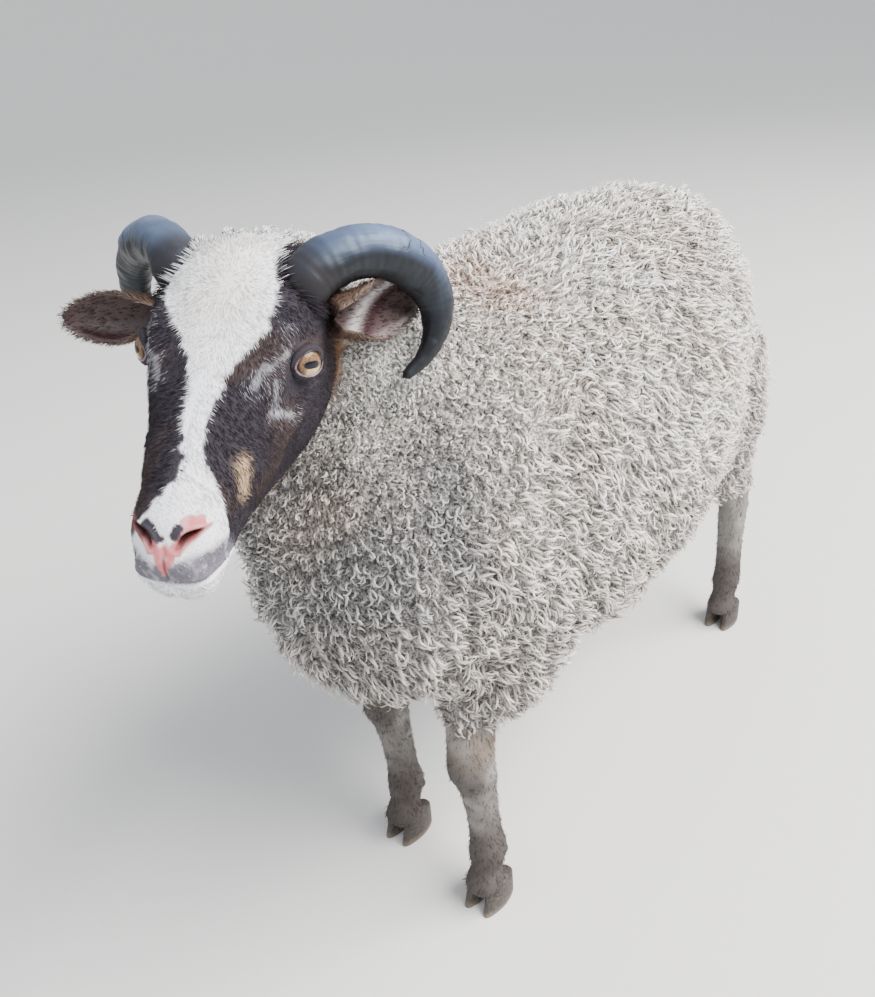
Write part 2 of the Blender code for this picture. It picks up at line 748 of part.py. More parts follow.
def horn_loft(word, grow=0.0):
    steps = evenly(0, 1, HORN_RINGS)
    knots = evenly(0, 1, len(HORN_RADII))
    points = [HORN_BED, *(horn_point(t, word) for t in steps)]
    radii = [smooth_value(knots, HORN_RADII, t) * HORN_STOUTNESS[word] + grow for t in (0, *steps)]
    return sided(bar(points, radii, HORN_SIDES), SIDES[word])


def build_horns_and_ears(head_frame):
    for word in SIDES:
        for kind, shape, paint in (("horn", horn_loft, "horn"), ("ear", ear_loft, "face_hair")):
            piece = add_object(f"{kind}_{word}", shape(word), paint, head_frame)
            cutters = [add_object("head cutter", head_loft(GAP), paint, head_frame)]
            if kind == "ear":
                cutters.append(add_object("horn cutter", horn_loft(word, GAP), paint, head_frame))
            cut(piece, cutters)
            keep_largest(piece)


# Legs and hooves

def leg_loft(place, stations, grow=0.0):
    rings = []
    for k, (height, ahead, half_width, half_depth) in enumerate(stations):
        inward = math.copysign(max(0, height - LEG_LEAN_FROM) * LEG_LEAN, place.y)
        centre = place + Vector((ahead, -inward, height + (grow if k == 0 else 0)))
        offsets = [superellipse(a, 2.2) for a in turns(LEG_SIDES)]
        rings.append([
            centre + Vector((out * (half_depth + grow), over * (half_width + grow), 0)) for out, over in offsets
        ])
    return loft(rings)


def build_leg(name, place, sheep):
    stations = FORELEG if name.startswith("fore") else HINDLEG
    leg = add_object(name, leg_loft(place, stations), "leg_hair", sheep)
    dewclaws = []
    for side in (1, -1):
        spot = place + Vector((DEWCLAW_PLACE.x, DEWCLAW_PLACE.y * side, DEWCLAW_PLACE.z))
        dewclaws.append(add_object(
            "dewclaw", moved(ellipsoid(DEWCLAW_HALF, 6, 4), Matrix.Translation(spot)), "leg_hair",
        ))
    join(leg, dewclaws)
    keep_largest(leg)
    return leg


def build_claws(name, place, sheep):
    """Two claws under a foot, flat soled, toed in to the cleft between them."""
    foot = FORELEG[-1][0] - GAP
    away = 1 if place.y > 0 else -1
    for word, side in (("outer", away), ("inner", -away)):
        rings = []
        for height, scale, back in ((0.0, 1.0, 0.0), (foot, CLAW_TOP_SCALE, CLAW_TOP_BACK)):
            ring = []
            for a in turns(CLAW_POINTS):
                out, over = superellipse(a, 2.4)
                toe = 1 - 0.35 * max(out, 0)
                x = out * CLAW_HALF_LENGTH * scale - back
                y = CLAW_CLEFT / 2 + CLAW_HALF_WIDTH + over * CLAW_HALF_WIDTH * toe * (0.9 + 0.1 * scale)
                ring.append(place + Vector((x, side * y, height)))
            rings.append(ring)
        add_object(f"hoof_{name}_{word}", loft(rings), "hoof", sheep)


def smooth_shading():
    for obj in bpy.data.objects:
        if obj.type == "MESH":
            obj.data.shade_smooth()
            obj.data.set_sharp_from_angle(angle=math.radians(50))


def stand_on_origin(sheep):
    """Moves the whole sheep so that the middle of its box lies over the origin."""
    bpy.context.view_layer.update()
    corners = [
        obj.matrix_world @ vert.co for obj in bpy.data.objects if obj.type == "MESH" for vert in obj.data.vertices
    ]
    low = [min(corner[axis] for corner in corners) for axis in range(3)]
    high = [max(corner[axis] for corner in corners) for axis in range(3)]
    sheep.location = (-(low[0] + high[0]) / 2, -(low[1] + high[1]) / 2, -low[2])
    bpy.context.view_layer.update()


def main():
    clear_scene()
    sheep = add_empty("sheep", Matrix.Identity(4))
    head_frame = add_empty("head frame", head_matrix(), sheep)
    bpy.context.view_layer.update()

    torso, neck, tail = build_fleece(sheep, head_frame)
    build_head(sheep, head_frame)
    build_eyes(head_frame)
    build_horns_and_ears(head_frame)
    for name, place in HOOVES.items():
        build_leg(name, place, sheep)
        build_claws(name, place, sheep)

    sockets = [
        add_object("leg cutter", leg_loft(place, FORELEG if name.startswith("fore") else HINDLEG, GAP), "fleece")
        for name, place in HOOVES.items()
    ]
    cut(torso, sockets)
    head_cutters = [add_object("head cutter", head_loft(GAP), "fleece", head_frame)]
    for word in SIDES:
        head_cutters.append(add_object("horn cutter", horn_loft(word, GAP), "fleece", head_frame))
        head_cutters.append(add_object("ear cutter", ear_loft(word, EAR_ROOM), "fleece", head_frame))
    cut(neck, head_cutters)
    for piece in (torso, neck):
        keep_largest(piece)
    smooth_shading()
    stand_on_origin(sheep)


main()
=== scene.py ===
import math

import bpy
import numpy as np
from mathutils import Matrix, Vector
from mathutils.bvhtree import BVHTree
from mathutils.kdtree import KDTree


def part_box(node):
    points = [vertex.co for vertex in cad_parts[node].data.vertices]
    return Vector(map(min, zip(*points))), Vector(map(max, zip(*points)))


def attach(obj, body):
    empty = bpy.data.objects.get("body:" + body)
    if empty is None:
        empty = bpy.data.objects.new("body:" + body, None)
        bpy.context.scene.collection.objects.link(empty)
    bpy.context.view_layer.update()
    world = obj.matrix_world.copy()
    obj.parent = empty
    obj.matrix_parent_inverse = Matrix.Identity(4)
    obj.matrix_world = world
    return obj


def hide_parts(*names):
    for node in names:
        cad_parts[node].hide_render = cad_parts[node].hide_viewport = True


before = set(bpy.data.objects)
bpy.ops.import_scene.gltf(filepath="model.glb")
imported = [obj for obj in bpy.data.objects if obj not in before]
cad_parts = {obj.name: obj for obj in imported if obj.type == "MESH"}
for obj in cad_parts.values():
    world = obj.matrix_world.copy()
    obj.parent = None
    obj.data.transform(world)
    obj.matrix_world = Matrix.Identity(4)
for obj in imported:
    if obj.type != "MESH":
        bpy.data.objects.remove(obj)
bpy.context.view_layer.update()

# The sheep's own axes: x forward, y to its left, z up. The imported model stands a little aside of
# them, which the left outer forehoof shows.
home = {
    "forehoofLow": (0.1955, 0.0725),  # its low corner in the sheep's own axes, m
    "forehoof": "hoof_foreleg_left_outer",
}
homeShift = np.zeros(3)
homeShift[:2] = np.array(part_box(home["forehoof"])[0].xy) - home["forehoofLow"]


# Sums on numpy arrays

def unit(vectors):
    return vectors / np.maximum(np.linalg.norm(vectors, axis=-1, keepdims=True), 1e-9)


def dot(first, second):
    return (first * second).sum(-1)


def ease(value, low, high):
    # 0 below low, 1 above high, smooth between; low may be the larger one
    t = np.clip((value - low) / (high - low), 0, 1)
    return t * t * (3 - 2 * t)


def readTable(table, x):
    # a smooth curve through the rows of a table, read at x of its first column
    table = np.asarray(table, float)
    knots, values = table[:, 0], table[:, 1:]
    slopes = np.empty_like(values)
    slopes[1:-1] = (values[2:] - values[:-2]) / (knots[2:] - knots[:-2])[:, None]
    slopes[0] = (values[1] - values[0]) / (knots[1] - knots[0])
    slopes[-1] = (values[-1] - values[-2]) / (knots[-1] - knots[-2])
    x = np.clip(np.asarray(x, float), knots[0], knots[-1])
    i = np.clip(np.searchsorted(knots, x, side="right") - 1, 0, len(knots) - 2)
    span = (knots[i + 1] - knots[i])[..., None]
    t = (x - knots[i])[..., None] / span
    return (
        (2 * t**3 - 3 * t**2 + 1) * values[i] + (t**3 - 2 * t**2 + t) * span * slopes[i]
        + (3 * t**2 - 2 * t**3) * values[i + 1] + (t**3 - t**2) * span * slopes[i + 1]
    )


def wobble(points, size, seed, waves=9):
    # smooth random field of about -1 to 1, whose swells are about size across
    draw = np.random.default_rng(seed)
    ways = unit(draw.normal(size=(waves, 3))) * draw.uniform(0.6, 1.5, (waves, 1)) * math.pi / size
    shifts = draw.uniform(0, 2 * math.pi, waves)
    return np.sin(points @ ways.T + shifts).sum(-1) / math.sqrt(waves)


def wobbles(points, size, seeds):
    return np.stack([wobble(points, size, seed) for seed in seeds], -1)


def bell(value, middle, width):
    # 1 at middle, fading away about width from it
    return np.exp(-((value - middle) / width) ** 2)


def nearSegment(points, start, end):
    # distance from each point to a line between two places
    start, end = np.asarray(start, float), np.asarray(end, float)
    along = end - start
    t = np.clip((points - start) @ along / max(along @ along, 1e-12), 0, 1)
    return np.linalg.norm(points - start - t[..., None] * along, axis=-1)


def spot(points, start, end, radius):
    # 1 on the line between two places, fading away about radius from it
    return bell(nearSegment(points, start, end), 0, radius)


def pastShoulder(points):
    # distance in front of the shoulder, where the neck's fleece begins
    return dot(points - np.array(neck["shoulder"]), unit(np.array(neck["shoulderWay"])))


def towards(value, other, *shares):
    # part of the way from one value to another
    step = other - value
    for share in shares:
        step = step * share
    return value + step


def hairWidths(width, count, draw):
    # half widths at the root, the middle and near the tip of each hair
    return width * draw.uniform(0.75, 1.3, count)[:, None] * np.array((1.0, 0.85, 0.3))


def evenly(values, t):
    # a smooth curve through values that stand evenly from 0 to 1
    return readTable(list(zip(np.linspace(0, 1, len(values)), values)), t)[:, 0]


def fullTurn(count):
    return np.linspace(0, 2 * math.pi, count, endpoint=False)


def overSkin(ways, normals):
    # directions laid flat on the skin
    return unit(ways - normals * dot(ways, normals)[:, None])


def turned(angle, axis):
    return np.array(Matrix.Rotation(math.radians(angle), 3, axis))


# Meshes from arrays

def outward(points, faces):
    # turns a closed mesh right side out
    a, b, c = (points[faces[:, k]] for k in range(3))
    return faces if dot(np.cross(a, b), c).sum() > 0 else faces[:, ::-1]


def loftMesh(rings, firstPole, lastPole):
    # a closed skin through rings of equal length, drawn in to a pole at each end
    rows, count, _ = rings.shape
    i, j = np.meshgrid(np.arange(rows - 1), np.arange(count), indexing="ij")
    a, b = (i * count + j).ravel(), (i * count + (j + 1) % count).ravel()
    points = np.vstack([rings.reshape(-1, 3), firstPole, lastPole])
    first, k = rows * count, np.arange(count)
    last = (rows - 1) * count
    faces = np.vstack([
        np.stack([a, b, b + count], -1), np.stack([a, b + count, a + count], -1),
        np.stack([(k + 1) % count, k, np.full(count, first)], -1),
        np.stack([last + k, last + (k + 1) % count, np.full(count, first + 1)], -1),
    ])
    return points, outward(points - points.mean(0), faces)


def ringNormals(rings):
    # outward normals of a grid of rings
    along = np.gradient(rings, axis=0)
    around = np.roll(rings, -1, axis=1) - np.roll(rings, 1, axis=1)
    normals = unit(np.cross(along, around))
    middle = rings.mean(1, keepdims=True)
    return normals * np.sign(dot(normals, rings - middle).mean())


def meshObject(name, points, faces, values=None, patches=None):
    mesh = bpy.data.meshes.new(name)
    mesh.vertices.add(len(points))
    mesh.vertices.foreach_set("co", (points + homeShift).astype(np.float32).ravel())
    mesh.loops.add(faces.size)
    mesh.loops.foreach_set("vertex_index", faces.astype(np.int32).ravel())
    mesh.polygons.add(len(faces))
    mesh.polygons.foreach_set("loop_start", np.arange(0, faces.size, faces.shape[1], dtype=np.int32))
    mesh.update(calc_edges=True)
    mesh.shade_smooth()
    setValues(mesh, values or {})
    if patches is not None:
        layer = mesh.uv_layers.new(name="OFBake")
        layer.data.foreach_set("uv", patches[faces.ravel()].astype(np.float32).ravel())
    obj = bpy.data.objects.new(name, mesh)
    bpy.context.scene.collection.objects.link(obj)
    return obj


def setValues(mesh, values):
    # numbers, vectors (3 wide) and colours (4 wide) that the materials read at each point
    for key, value in values.items():
        kind, field = {1: ("FLOAT", "value"), 3: ("FLOAT_VECTOR", "vector"), 4: ("FLOAT_COLOR", "color")}[
            1 if value.ndim == 1 else value.shape[1]
        ]
        layer = mesh.attributes.new(key, kind, "POINT")
        layer.data.foreach_set(field, value.astype(np.float32).ravel())


def dress(obj, paints, slot, *replaced):
    for paint in paints if isinstance(paints, (list, tuple)) else [paints]:
        obj.data.materials.append(paint.material)
    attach(obj, "root")
    if replaced:
        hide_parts(*replaced)
    return obj


def fuse(objects, name):
    # joins closed meshes to one skin in a single union
    bpy.ops.object.select_all(action="DESELECT")
    group = bpy.data.collections.new("fusing")
    bpy.context.scene.collection.children.link(group)
    for other in objects[1:]:
        bpy.context.scene.collection.objects.unlink(other)
        group.objects.link(other)
    base = objects[0]
    union = base.modifiers.new("fuse", "BOOLEAN")
    union.operation = "UNION"
    union.operand_type = "COLLECTION"
    union.collection = group
    union.solver = "MANIFOLD"
    bpy.context.view_layer.objects.active = base
    base.select_set(True)
    bpy.ops.object.modifier_apply(modifier=union.name)
    base.select_set(False)
    for other in objects[1:]:
        bpy.data.objects.remove(other)
    bpy.data.collections.remove(group)
    base.name = name
    return base


# Shader sums

class Wire:
    # a shader value: each operator adds the Math node for it
    def __init__(self, paint, socket):
        self.paint = paint
        self.socket = socket

    def sum(self, operation, *values):
        return self.paint.wire("Math", {"operation": operation}, values)

    def __add__(self, other):
        return self.sum("ADD", self, other)

    def __radd__(self, other):
        return self.sum("ADD", other, self)

    def __sub__(self, other):
        return self.sum("SUBTRACT", self, other)

    def __rsub__(self, other):
        return self.sum("SUBTRACT", other, self)

    def __mul__(self, other):
        return self.sum("MULTIPLY", self, other)

    def __rmul__(self, other):
        return self.sum("MULTIPLY", other, self)

    def __pow__(self, other):
        return self.sum("POWER", self, other)

    def sine(self):
        return self.sum("SINE", self)

    def size(self):
        return self.sum("ABSOLUTE", self)

    def within(self, low, high):
        # 0 at low, 1 at high, smooth between
        return self.paint.wire(
            "MapRange", {"interpolation_type": "SMOOTHSTEP"},
            {"Value": self, "From Min": low, "From Max": high},
        )


class Paint:
    def __init__(self, name, roughness, **plain):
        self.material = bpy.data.materials.new(name)
        self.material.use_nodes = True
        self.tree = self.material.node_tree
        self.shader = self.tree.nodes["Principled BSDF"]
        self.shader.inputs["Roughness"].default_value = roughness
        for key, value in plain.items():
            self.shader.inputs[key.replace("_", " ")].default_value = value

    def feed(self, socket, value):
        if isinstance(value, Wire):
            self.tree.links.new(value.socket, socket)
        else:
            socket.default_value = value

    def node(self, kind, settings, values):
        made = self.tree.nodes.new("ShaderNode" + kind)
        for key, value in settings.items():
            setattr(made, key, value)
        pairs = values.items() if isinstance(values, dict) else enumerate(values)
        for key, value in pairs:
            self.feed(made.inputs[key], value)
        return made

    def wire(self, kind, settings, values, output=0):
        return Wire(self, self.node(kind, settings, values).outputs[output])

    def point(self, key):
        return self.wire("Attribute", {"attribute_name": key}, (), "Fac")

    def colour(self, key):
        return self.wire("Attribute", {"attribute_name": key}, (), "Color")

    def place(self):
        return self.wire("TexCoord", {}, (), "Object")

    def noise(self, size, detail=3.0, vector=None):
        # swells about size across, in metres
        values = {"Vector": vector or self.place(), "Scale": 1 / size, "Detail": detail}
        return self.wire("TexNoise", {}, values)

    def blend(self, first, second, factor, how="MIX"):
        return self.wire("Mix", {"data_type": "RGBA", "blend_type": how}, {0: factor, 6: first, 7: second}, 2)

    def shade(self, colour, value):
        # a colour made darker or lighter by a value
        grey = self.wire("CombineColor", {}, (value, value, value))
        return self.blend(colour, grey, 1.0, "MULTIPLY")

    def finish(self, colour, height=None, depth=0.001, strength=1.0, roughness=None):
        self.feed(self.shader.inputs["Base Color"], colour)
        if roughness is not None:
            self.feed(self.shader.inputs["Roughness"], roughness)
        if height is not None:
            bumped = self.wire("Bump", {}, {"Strength": strength, "Distance": depth, "Height": height})
            self.feed(self.shader.inputs["Normal"], bumped)
        return self


def rgb(red, green, blue):
    return (red, green, blue, 1.0)


# Head, in its own axes: x from the poll down the profile, y to its left, z out of the forehead

head = {
    "poll": (0.3427, -0.0131, 0.7491),
    "turn": 20.0, "dip": 36.4, "tilt": -6.7,  # degrees
    "sections": (
        # along, brow, level of greatest width, chin, half width, squareness above and below
        (-0.050, -0.066, -0.086, -0.112, 0.036, 2.0, 2.0),
        (-0.020, -0.030, -0.066, -0.128, 0.051, 2.2, 2.1),
        (0.002, -0.009, -0.054, -0.136, 0.058, 2.4, 2.3),
        (0.024, 0.001, -0.046, -0.142, 0.060, 2.6, 2.4),
        (0.056, 0.001, -0.040, -0.145, 0.0585, 2.7, 2.5),
        (0.084, -0.001, -0.036, -0.143, 0.056, 2.7, 2.5),
        (0.120, -0.003, -0.044, -0.131, 0.048, 2.6, 2.4),
        (0.155, -0.004, -0.046, -0.111, 0.0380, 2.4, 2.3),
        (0.188, -0.005, -0.043, -0.090, 0.0310, 2.3, 2.3),
        (0.212, -0.0075, -0.041, -0.081, 0.0290, 2.3, 2.3),
        (0.222, -0.0120, -0.043, -0.0790, 0.0275, 2.3, 2.3),
        (0.231, -0.0178, -0.046, -0.0745, 0.0245, 2.2, 2.3),
    ),
    "muzzleEnd": 0.2425,
    "bluntNose": 0.62, "bluntChin": 0.42,
    "noseAside": 0.0024,     # the middle of the nose lies this much to the left
    "stepPlain": 0.0024, "stepEye": 0.0011, "stepMuzzle": 0.00095,
    "eyeSpan": (0.056, 0.106), "muzzleFrom": 0.186,
    "columnsEye": (0.21, 0.47),  # share of the way from crest to chin
    "half": 0.225,           # length of half a section by the eye
}
headTurn = turned(head["turn"], "Z") @ turned(head["dip"], "Y") @ turned(head["tilt"], "X")


def fromHead(points):
    return points @ headTurn.T + head["poll"]


def intoHead(points):
    return (points - head["poll"]) @ headTurn


def headSteps(low, high):
    # places along the head, closer at the eye and the muzzle
    steps = [low]
    while steps[-1] < high:
        at = steps[-1]
        inEye = head["eyeSpan"][0] < at < head["eyeSpan"][1]
        step = head["stepEye"] if inEye else head["stepPlain"]
        steps.append(at + (head["stepMuzzle"] if at > head["muzzleFrom"] else step))
    return np.array(steps[:-1] + [high])


def headShares():
    # places from the crest to under the chin, closer at the eye's level
    low, high = head["columnsEye"]
    shares = [0.0]
    while shares[-1] < 1:
        step = head["stepEye"] if low < shares[-1] < high else head["stepPlain"] * 0.9
        shares.append(shares[-1] + step / head["half"])
    return np.array(shares[:-1] + [1.0])


def headRings():
    lastKnot = head["sections"][-1][0]
    plain = headSteps(head["sections"][0][0], lastKnot)
    reach = head["muzzleEnd"] - lastKnot
    bends = np.linspace(0, math.pi / 2, 34)[1:-1]
    stations = np.concatenate([plain, lastKnot + reach * np.sin(bends)])
    shrink = np.concatenate([np.ones(len(plain)), np.cos(bends)])
    shares = headShares()
    angles = np.linspace(math.pi / 2, -math.pi / 2, 721)
    rings = []
    for x, scale, row in zip(stations, shrink, readTable(head["sections"], stations)):
        top, level, bottom, half, squareAbove, squareBelow = row
        square = np.where(angles >= 0, squareAbove, squareBelow)
        c, s = np.cos(angles), np.sin(angles)
        y = np.abs(c) ** (2 / square) * half * scale ** head["bluntNose"]
        above = (top - level) * scale ** head["bluntNose"]
        tall = np.where(angles >= 0, above, (level - bottom) * scale ** head["bluntChin"])
        z = level + np.sign(s) * np.abs(s) ** (2 / square) * tall
        run = np.concatenate([[0], np.cumsum(np.hypot(np.diff(y), np.diff(z)))])
        left = np.stack([np.interp(shares * run[-1], run, y), np.interp(shares * run[-1], run, z)], -1)
        left[0, 0] = left[-1, 0] = 0
        right = left[-2:0:-1] * (-1, 1)
        ring = np.vstack([left, right])
        rings.append(np.column_stack([np.full(len(ring), x), ring]))
    rings = np.array(rings)
    first = np.searchsorted(stations, lastKnot - 0.010)
    for _ in range(14):
        rings[first:-1] = (rings[first - 1 : -2] + 2 * rings[first:-1] + rings[first + 1 :]) / 4
    return rings


# Swellings and hollows of the skull: start, end, radius, height
skullForms = (
    ((0.058, 0.046, -0.010), (0.094, 0.043, -0.008), 0.0085, 0.0030),    # brow over the eye
    ((0.098, 0.050, -0.030), (0.140, 0.036, -0.026), 0.0095, -0.0032),   # hollow ahead of the eye
    ((0.070, 0.056, -0.060), (0.140, 0.043, -0.052), 0.0090, 0.0026),    # facial crest
    ((0.040, 0.058, -0.034), (0.048, 0.058, -0.060), 0.0110, -0.0022),   # temple
    ((0.020, 0.000, 0.002), (0.050, 0.000, 0.002), 0.0300, 0.0028),      # forehead
    ((0.075, 0.026, -0.002), (0.115, 0.020, -0.004), 0.0100, -0.0014),   # beside the bridge
    ((0.105, 0.000, -0.002), (0.190, 0.000, -0.004), 0.0120, 0.0014),    # bridge of the nose
    ((0.060, 0.052, -0.098), (0.088, 0.048, -0.092), 0.0260, 0.0034),    # chewing muscle
    ((0.125, 0.034, -0.085), (0.165, 0.028, -0.075), 0.0130, -0.0020),   # hollow of the cheek
    ((0.070, 0.030, -0.140), (0.150, 0.018, -0.112), 0.0090, 0.0016),    # edge of the jaw
    ((0.196, 0.027, -0.030), (0.208, 0.026, -0.034), 0.0100, 0.0016),    # pad over the lip
    ((0.190, 0.026, -0.022), (0.200, 0.024, -0.016), 0.0080, -0.0012),   # dip behind the nostril
    ((0.234, -0.006, -0.060), (0.234, 0.006, -0.060), 0.0130, 0.0032),   # chin
)

eye = {
    "centre": (0.0800, 0.0522, -0.0298),
    "radius": 0.0135,
    "looks": (0.46, 0.76, 0.46),
    "along": (0.80, -0.30, 0.45),    # towards the inner corner
    "middle": (-0.0014, 0.0002),     # of the opening, along and up from the ball's axis
    "halfLength": 0.0128, "halfUp": 0.0086, "halfDown": 0.0088,   # of the opening, over the ball
    "barTurn": 13.0,                 # of the pupil from the line between the corners, degrees
    "lid": 0.0011,                   # thickness of the lids over the ball
    "sunk": 0.0022,                  # how far the skin dips behind the ball's surface
    "crease": (0.0011, 0.0007), "hood": (0.0012, 0.0004),   # depth and swelling, of the upper and lower lid
    "rim": 0.00060, "iris": 0.0096,
}
eyeLooks = unit(np.array(eye["looks"]))
eyeAlong = unit(np.array(eye["along"]) - eyeLooks * (np.array(eye["along"]) @ eyeLooks))
eyeUp = np.cross(eyeAlong, eyeLooks)
eyeAxes = np.array([eyeAlong, eyeUp, eyeLooks])

nostril = {
    "centre": (0.2176, 0.0134, -0.0160),
    "along": (-0.66, 0.73, -0.16),   # from the inner end outwards
    "out": (0.60, 0.46, 0.66),
    "halfLength": 0.0088, "halfInner": 0.0030, "halfOuter": 0.0013,
    "curl": 0.0030, "depth": 0.0075, "wing": 0.0013,
}
nostrilOut = unit(np.array(nostril["out"]))
nostrilAlong = unit(np.array(nostril["along"]) - nostrilOut * (np.array(nostril["along"]) @ nostrilOut))
nostrilUp = np.cross(nostrilOut, nostrilAlong)
nostrilUp = nostrilUp * np.sign(nostrilUp[2])

mouth = {
    "corner": 0.204, "level": -0.0625, "rise": 31.0, "width": 0.0011, "depth": 0.0026,
    "lip": 0.0010, "lipMiddle": 0.0034, "lipWidth": 0.0020,
}
philtrum = {"from": -0.019, "to": -0.038, "ahead": 0.222, "width": 0.0013, "depth": 0.0016}


def mirrored(points):
    folded = points.copy()
    folded[..., 1] = np.abs(folded[..., 1])
    return folded


def fromNose(points):
    # as mirrored, about the middle of the nose
    moved = points.copy()
    moved[..., 1] -= head["noseAside"] * ease(points[..., 0], 0.190, 0.215)
    return moved


def eyeShare(points):
    # 1 on the edge of the almond between the lids, less inside it, and how far a point is from its
    # middle over the ball
    away = mirrored(points) - eye["centre"]
    reach = np.linalg.norm(away, axis=-1)
    along, up, ahead = (away @ way / np.maximum(reach, 1e-6) for way in (eyeAlong, eyeUp, eyeLooks))
    flat = np.maximum(np.hypot(along, up), 1e-6)
    arc = eye["radius"] * np.arctan2(flat, ahead) + np.clip(reach - eye["radius"] - 0.003, 0, None)
    along, up = along / flat * arc - eye["middle"][0], up / flat * arc - eye["middle"][1]
    tall = np.where(up > 0, eye["halfUp"], eye["halfDown"])
    share = (np.abs(along / eye["halfLength"]) ** 2 + np.abs(up / tall) ** 1.7) ** (1 / 1.85)
    return share, along, up


def onBall(along, up):
    # ways out from the ball's centre, along, up and ahead, for places over it
    along, up = along + eye["middle"][0], up + eye["middle"][1]
    arc = np.maximum(np.hypot(along, up), 1e-9)
    bend = arc / eye["radius"]
    return np.stack([along / arc * np.sin(bend), up / arc * np.sin(bend), np.cos(bend)], -1)


def nostrilShare(points):
    # 1 on the edge of the comma-shaped slit
    away = mirrored(fromNose(points)) - nostril["centre"]
    along, up = away @ nostrilAlong, away @ nostrilUp
    t = np.clip(along / nostril["halfLength"], -1.2, 1.2)
    up = up + nostril["curl"] * np.where(t < 0, t * t, 0.15 * t * t)
    half = towards(nostril["halfInner"], nostril["halfOuter"], (t + 1) / 2)
    share = np.hypot(along / nostril["halfLength"], up / half)
    return share * (1 + (np.clip(np.abs(away @ nostrilOut) - 0.006, 0, None) / 0.0035) ** 2)


def mouthDistance(points):
    # distance above the plane of the mouth, and how far a point is along the open line
    rise = math.radians(mouth["rise"])
    level = mouth["level"] + (points[..., 0] - mouth["corner"]) * math.tan(rise)
    openShare = ease(points[..., 0], mouth["corner"] - 0.006, mouth["corner"] + 0.004)
    return (points[..., 2] - level) * math.cos(rise), openShare


def shapeHead(rings):
    normals = ringNormals(rings)
    folded = mirrored(rings)
    lift = np.zeros(rings.shape[:2])
    for start, end, radius, height in skullForms:
        lift += height * spot(folded, start, end, radius)
    # lips and the line of the mouth
    away, openShare = mouthDistance(rings)
    lift += openShare * (
        mouth["lip"] * bell(np.abs(away), mouth["lipMiddle"], mouth["lipWidth"])
        - mouth["depth"] * bell(away, 0, mouth["width"])
    )
    first, last, ahead = philtrum["from"], philtrum["to"], philtrum["ahead"]
    x, z = rings[..., 0], rings[..., 2]
    groove = ease(z, last - 0.004, last + 0.003) * ease(z, first + 0.003, first - 0.004)
    groove = groove * ease(x, ahead - 0.004, ahead + 0.002)
    lift -= philtrum["depth"] * groove * bell(fromNose(rings)[..., 1], 0, philtrum["width"])
    # nostrils
    share = nostrilShare(rings)
    lift += nostril["wing"] * bell(share, 1.7, 0.5)
    lift -= nostril["depth"] * ease(share, 1.12, 0.55)
    shaped = rings + normals * lift[..., None]
    return shapeLids(shaped)


def shapeLids(rings):
    share, along, up = eyeShare(rings)
    side = np.where(rings[..., 1] < 0, -1.0, 1.0)[..., None] * (0, 1, 0) + (1, 0, 1)
    away = mirrored(rings) - eye["centre"]
    # points close to the edge of the opening are drawn onto it
    reach = np.linalg.norm(away, axis=-1)
    edge = onBall(along / np.maximum(share, 0.5), up / np.maximum(share, 0.5)) @ eyeAxes
    away = np.where((np.abs(share - 1) < 0.055)[..., None], edge * reach[..., None], away)
    lidReach = eye["radius"] + eye["lid"]
    crease = np.where(up > 0, *eye["crease"]) * bell(share, 1.62, 0.13)
    hood = np.where(up > 0, *eye["hood"]) * bell(share, 1.28, 0.16)
    target = lidReach + hood - crease
    inside = share < 0.945
    target = np.where(inside, eye["radius"] - eye["sunk"], target)
    weight = np.where(inside, 1.0, ease(share, 2.35, 1.45))
    newReach = reach * (1 - weight) + target * weight
    placed = eye["centre"] + away / np.maximum(reach, 1e-6)[..., None] * newReach[..., None]
    moved = np.where((weight > 0)[..., None], placed * side, rings)
    # tear groove at the inner corner
    folded = mirrored(moved)
    corner = onBall(np.array(eye["halfLength"] + 0.001), np.array(0.0)) @ eyeAxes
    corner = eye["centre"] + corner * lidReach
    tear = nearSegment(folded, corner, corner + np.array((0.008, -0.001, -0.002)))
    return moved - ringNormals(moved) * (0.0011 * bell(tear, 0, 0.0015))[..., None]


# Markings of the face, on skin and hair alike

faceColours = {
    "dark": (0.025, 0.021, 0.028), "brown": (0.090, 0.056, 0.042), "white": (0.80, 0.820, 0.870),
    "cream": (0.76, 0.64, 0.50), "grey": (0.28, 0.28, 0.31), "tan": (0.47, 0.335, 0.215),
    "wool": (0.64, 0.58, 0.50), "pink": (0.50, 0.140, 0.145), "blotch": (0.034, 0.031, 0.040),
    "lip": (0.135, 0.125, 0.155), "fawn": (0.25, 0.145, 0.085), "inside": (0.050, 0.013, 0.010),
}
blaze = (
    # along the face, its right edge, its left edge, counted round from the crest
    (-0.050, -0.036, 0.030), (0.000, -0.042, 0.026), (0.024, -0.050, 0.030), (0.040, -0.055, 0.037),
    (0.058, -0.047, 0.0375), (0.073, -0.036, 0.036), (0.091, -0.022, 0.027), (0.107, -0.011, 0.020),
    (0.127, -0.0063, 0.0135), (0.1456, -0.004, 0.0105), (0.158, 0.000, 0.0125), (0.168, 0.002, 0.017),
    (0.181, 0.0025, 0.031), (0.190, 0.000, 0.046), (0.200, -0.006, 0.057), (0.2136, -0.020, 0.072),
    (0.222, -0.050, 0.090), (0.243, -0.100, 0.100),
)
greyMarks = (
    # grey hairs in arcs before each eye: start, end, radius, strength
    ((0.070, 0.045, -0.007), (0.086, 0.048, -0.014), 0.0062, 0.75),
    ((0.086, 0.047, -0.012), (0.100, 0.040, -0.010), 0.0066, 0.85),
    ((0.100, 0.038, -0.008), (0.115, 0.033, -0.009), 0.0070, 0.80),
    ((0.106, 0.043, -0.016), (0.118, 0.046, -0.026), 0.0060, 0.80),
    ((0.124, 0.043, -0.025), (0.113, 0.049, -0.046), 0.0052, 0.90),
)
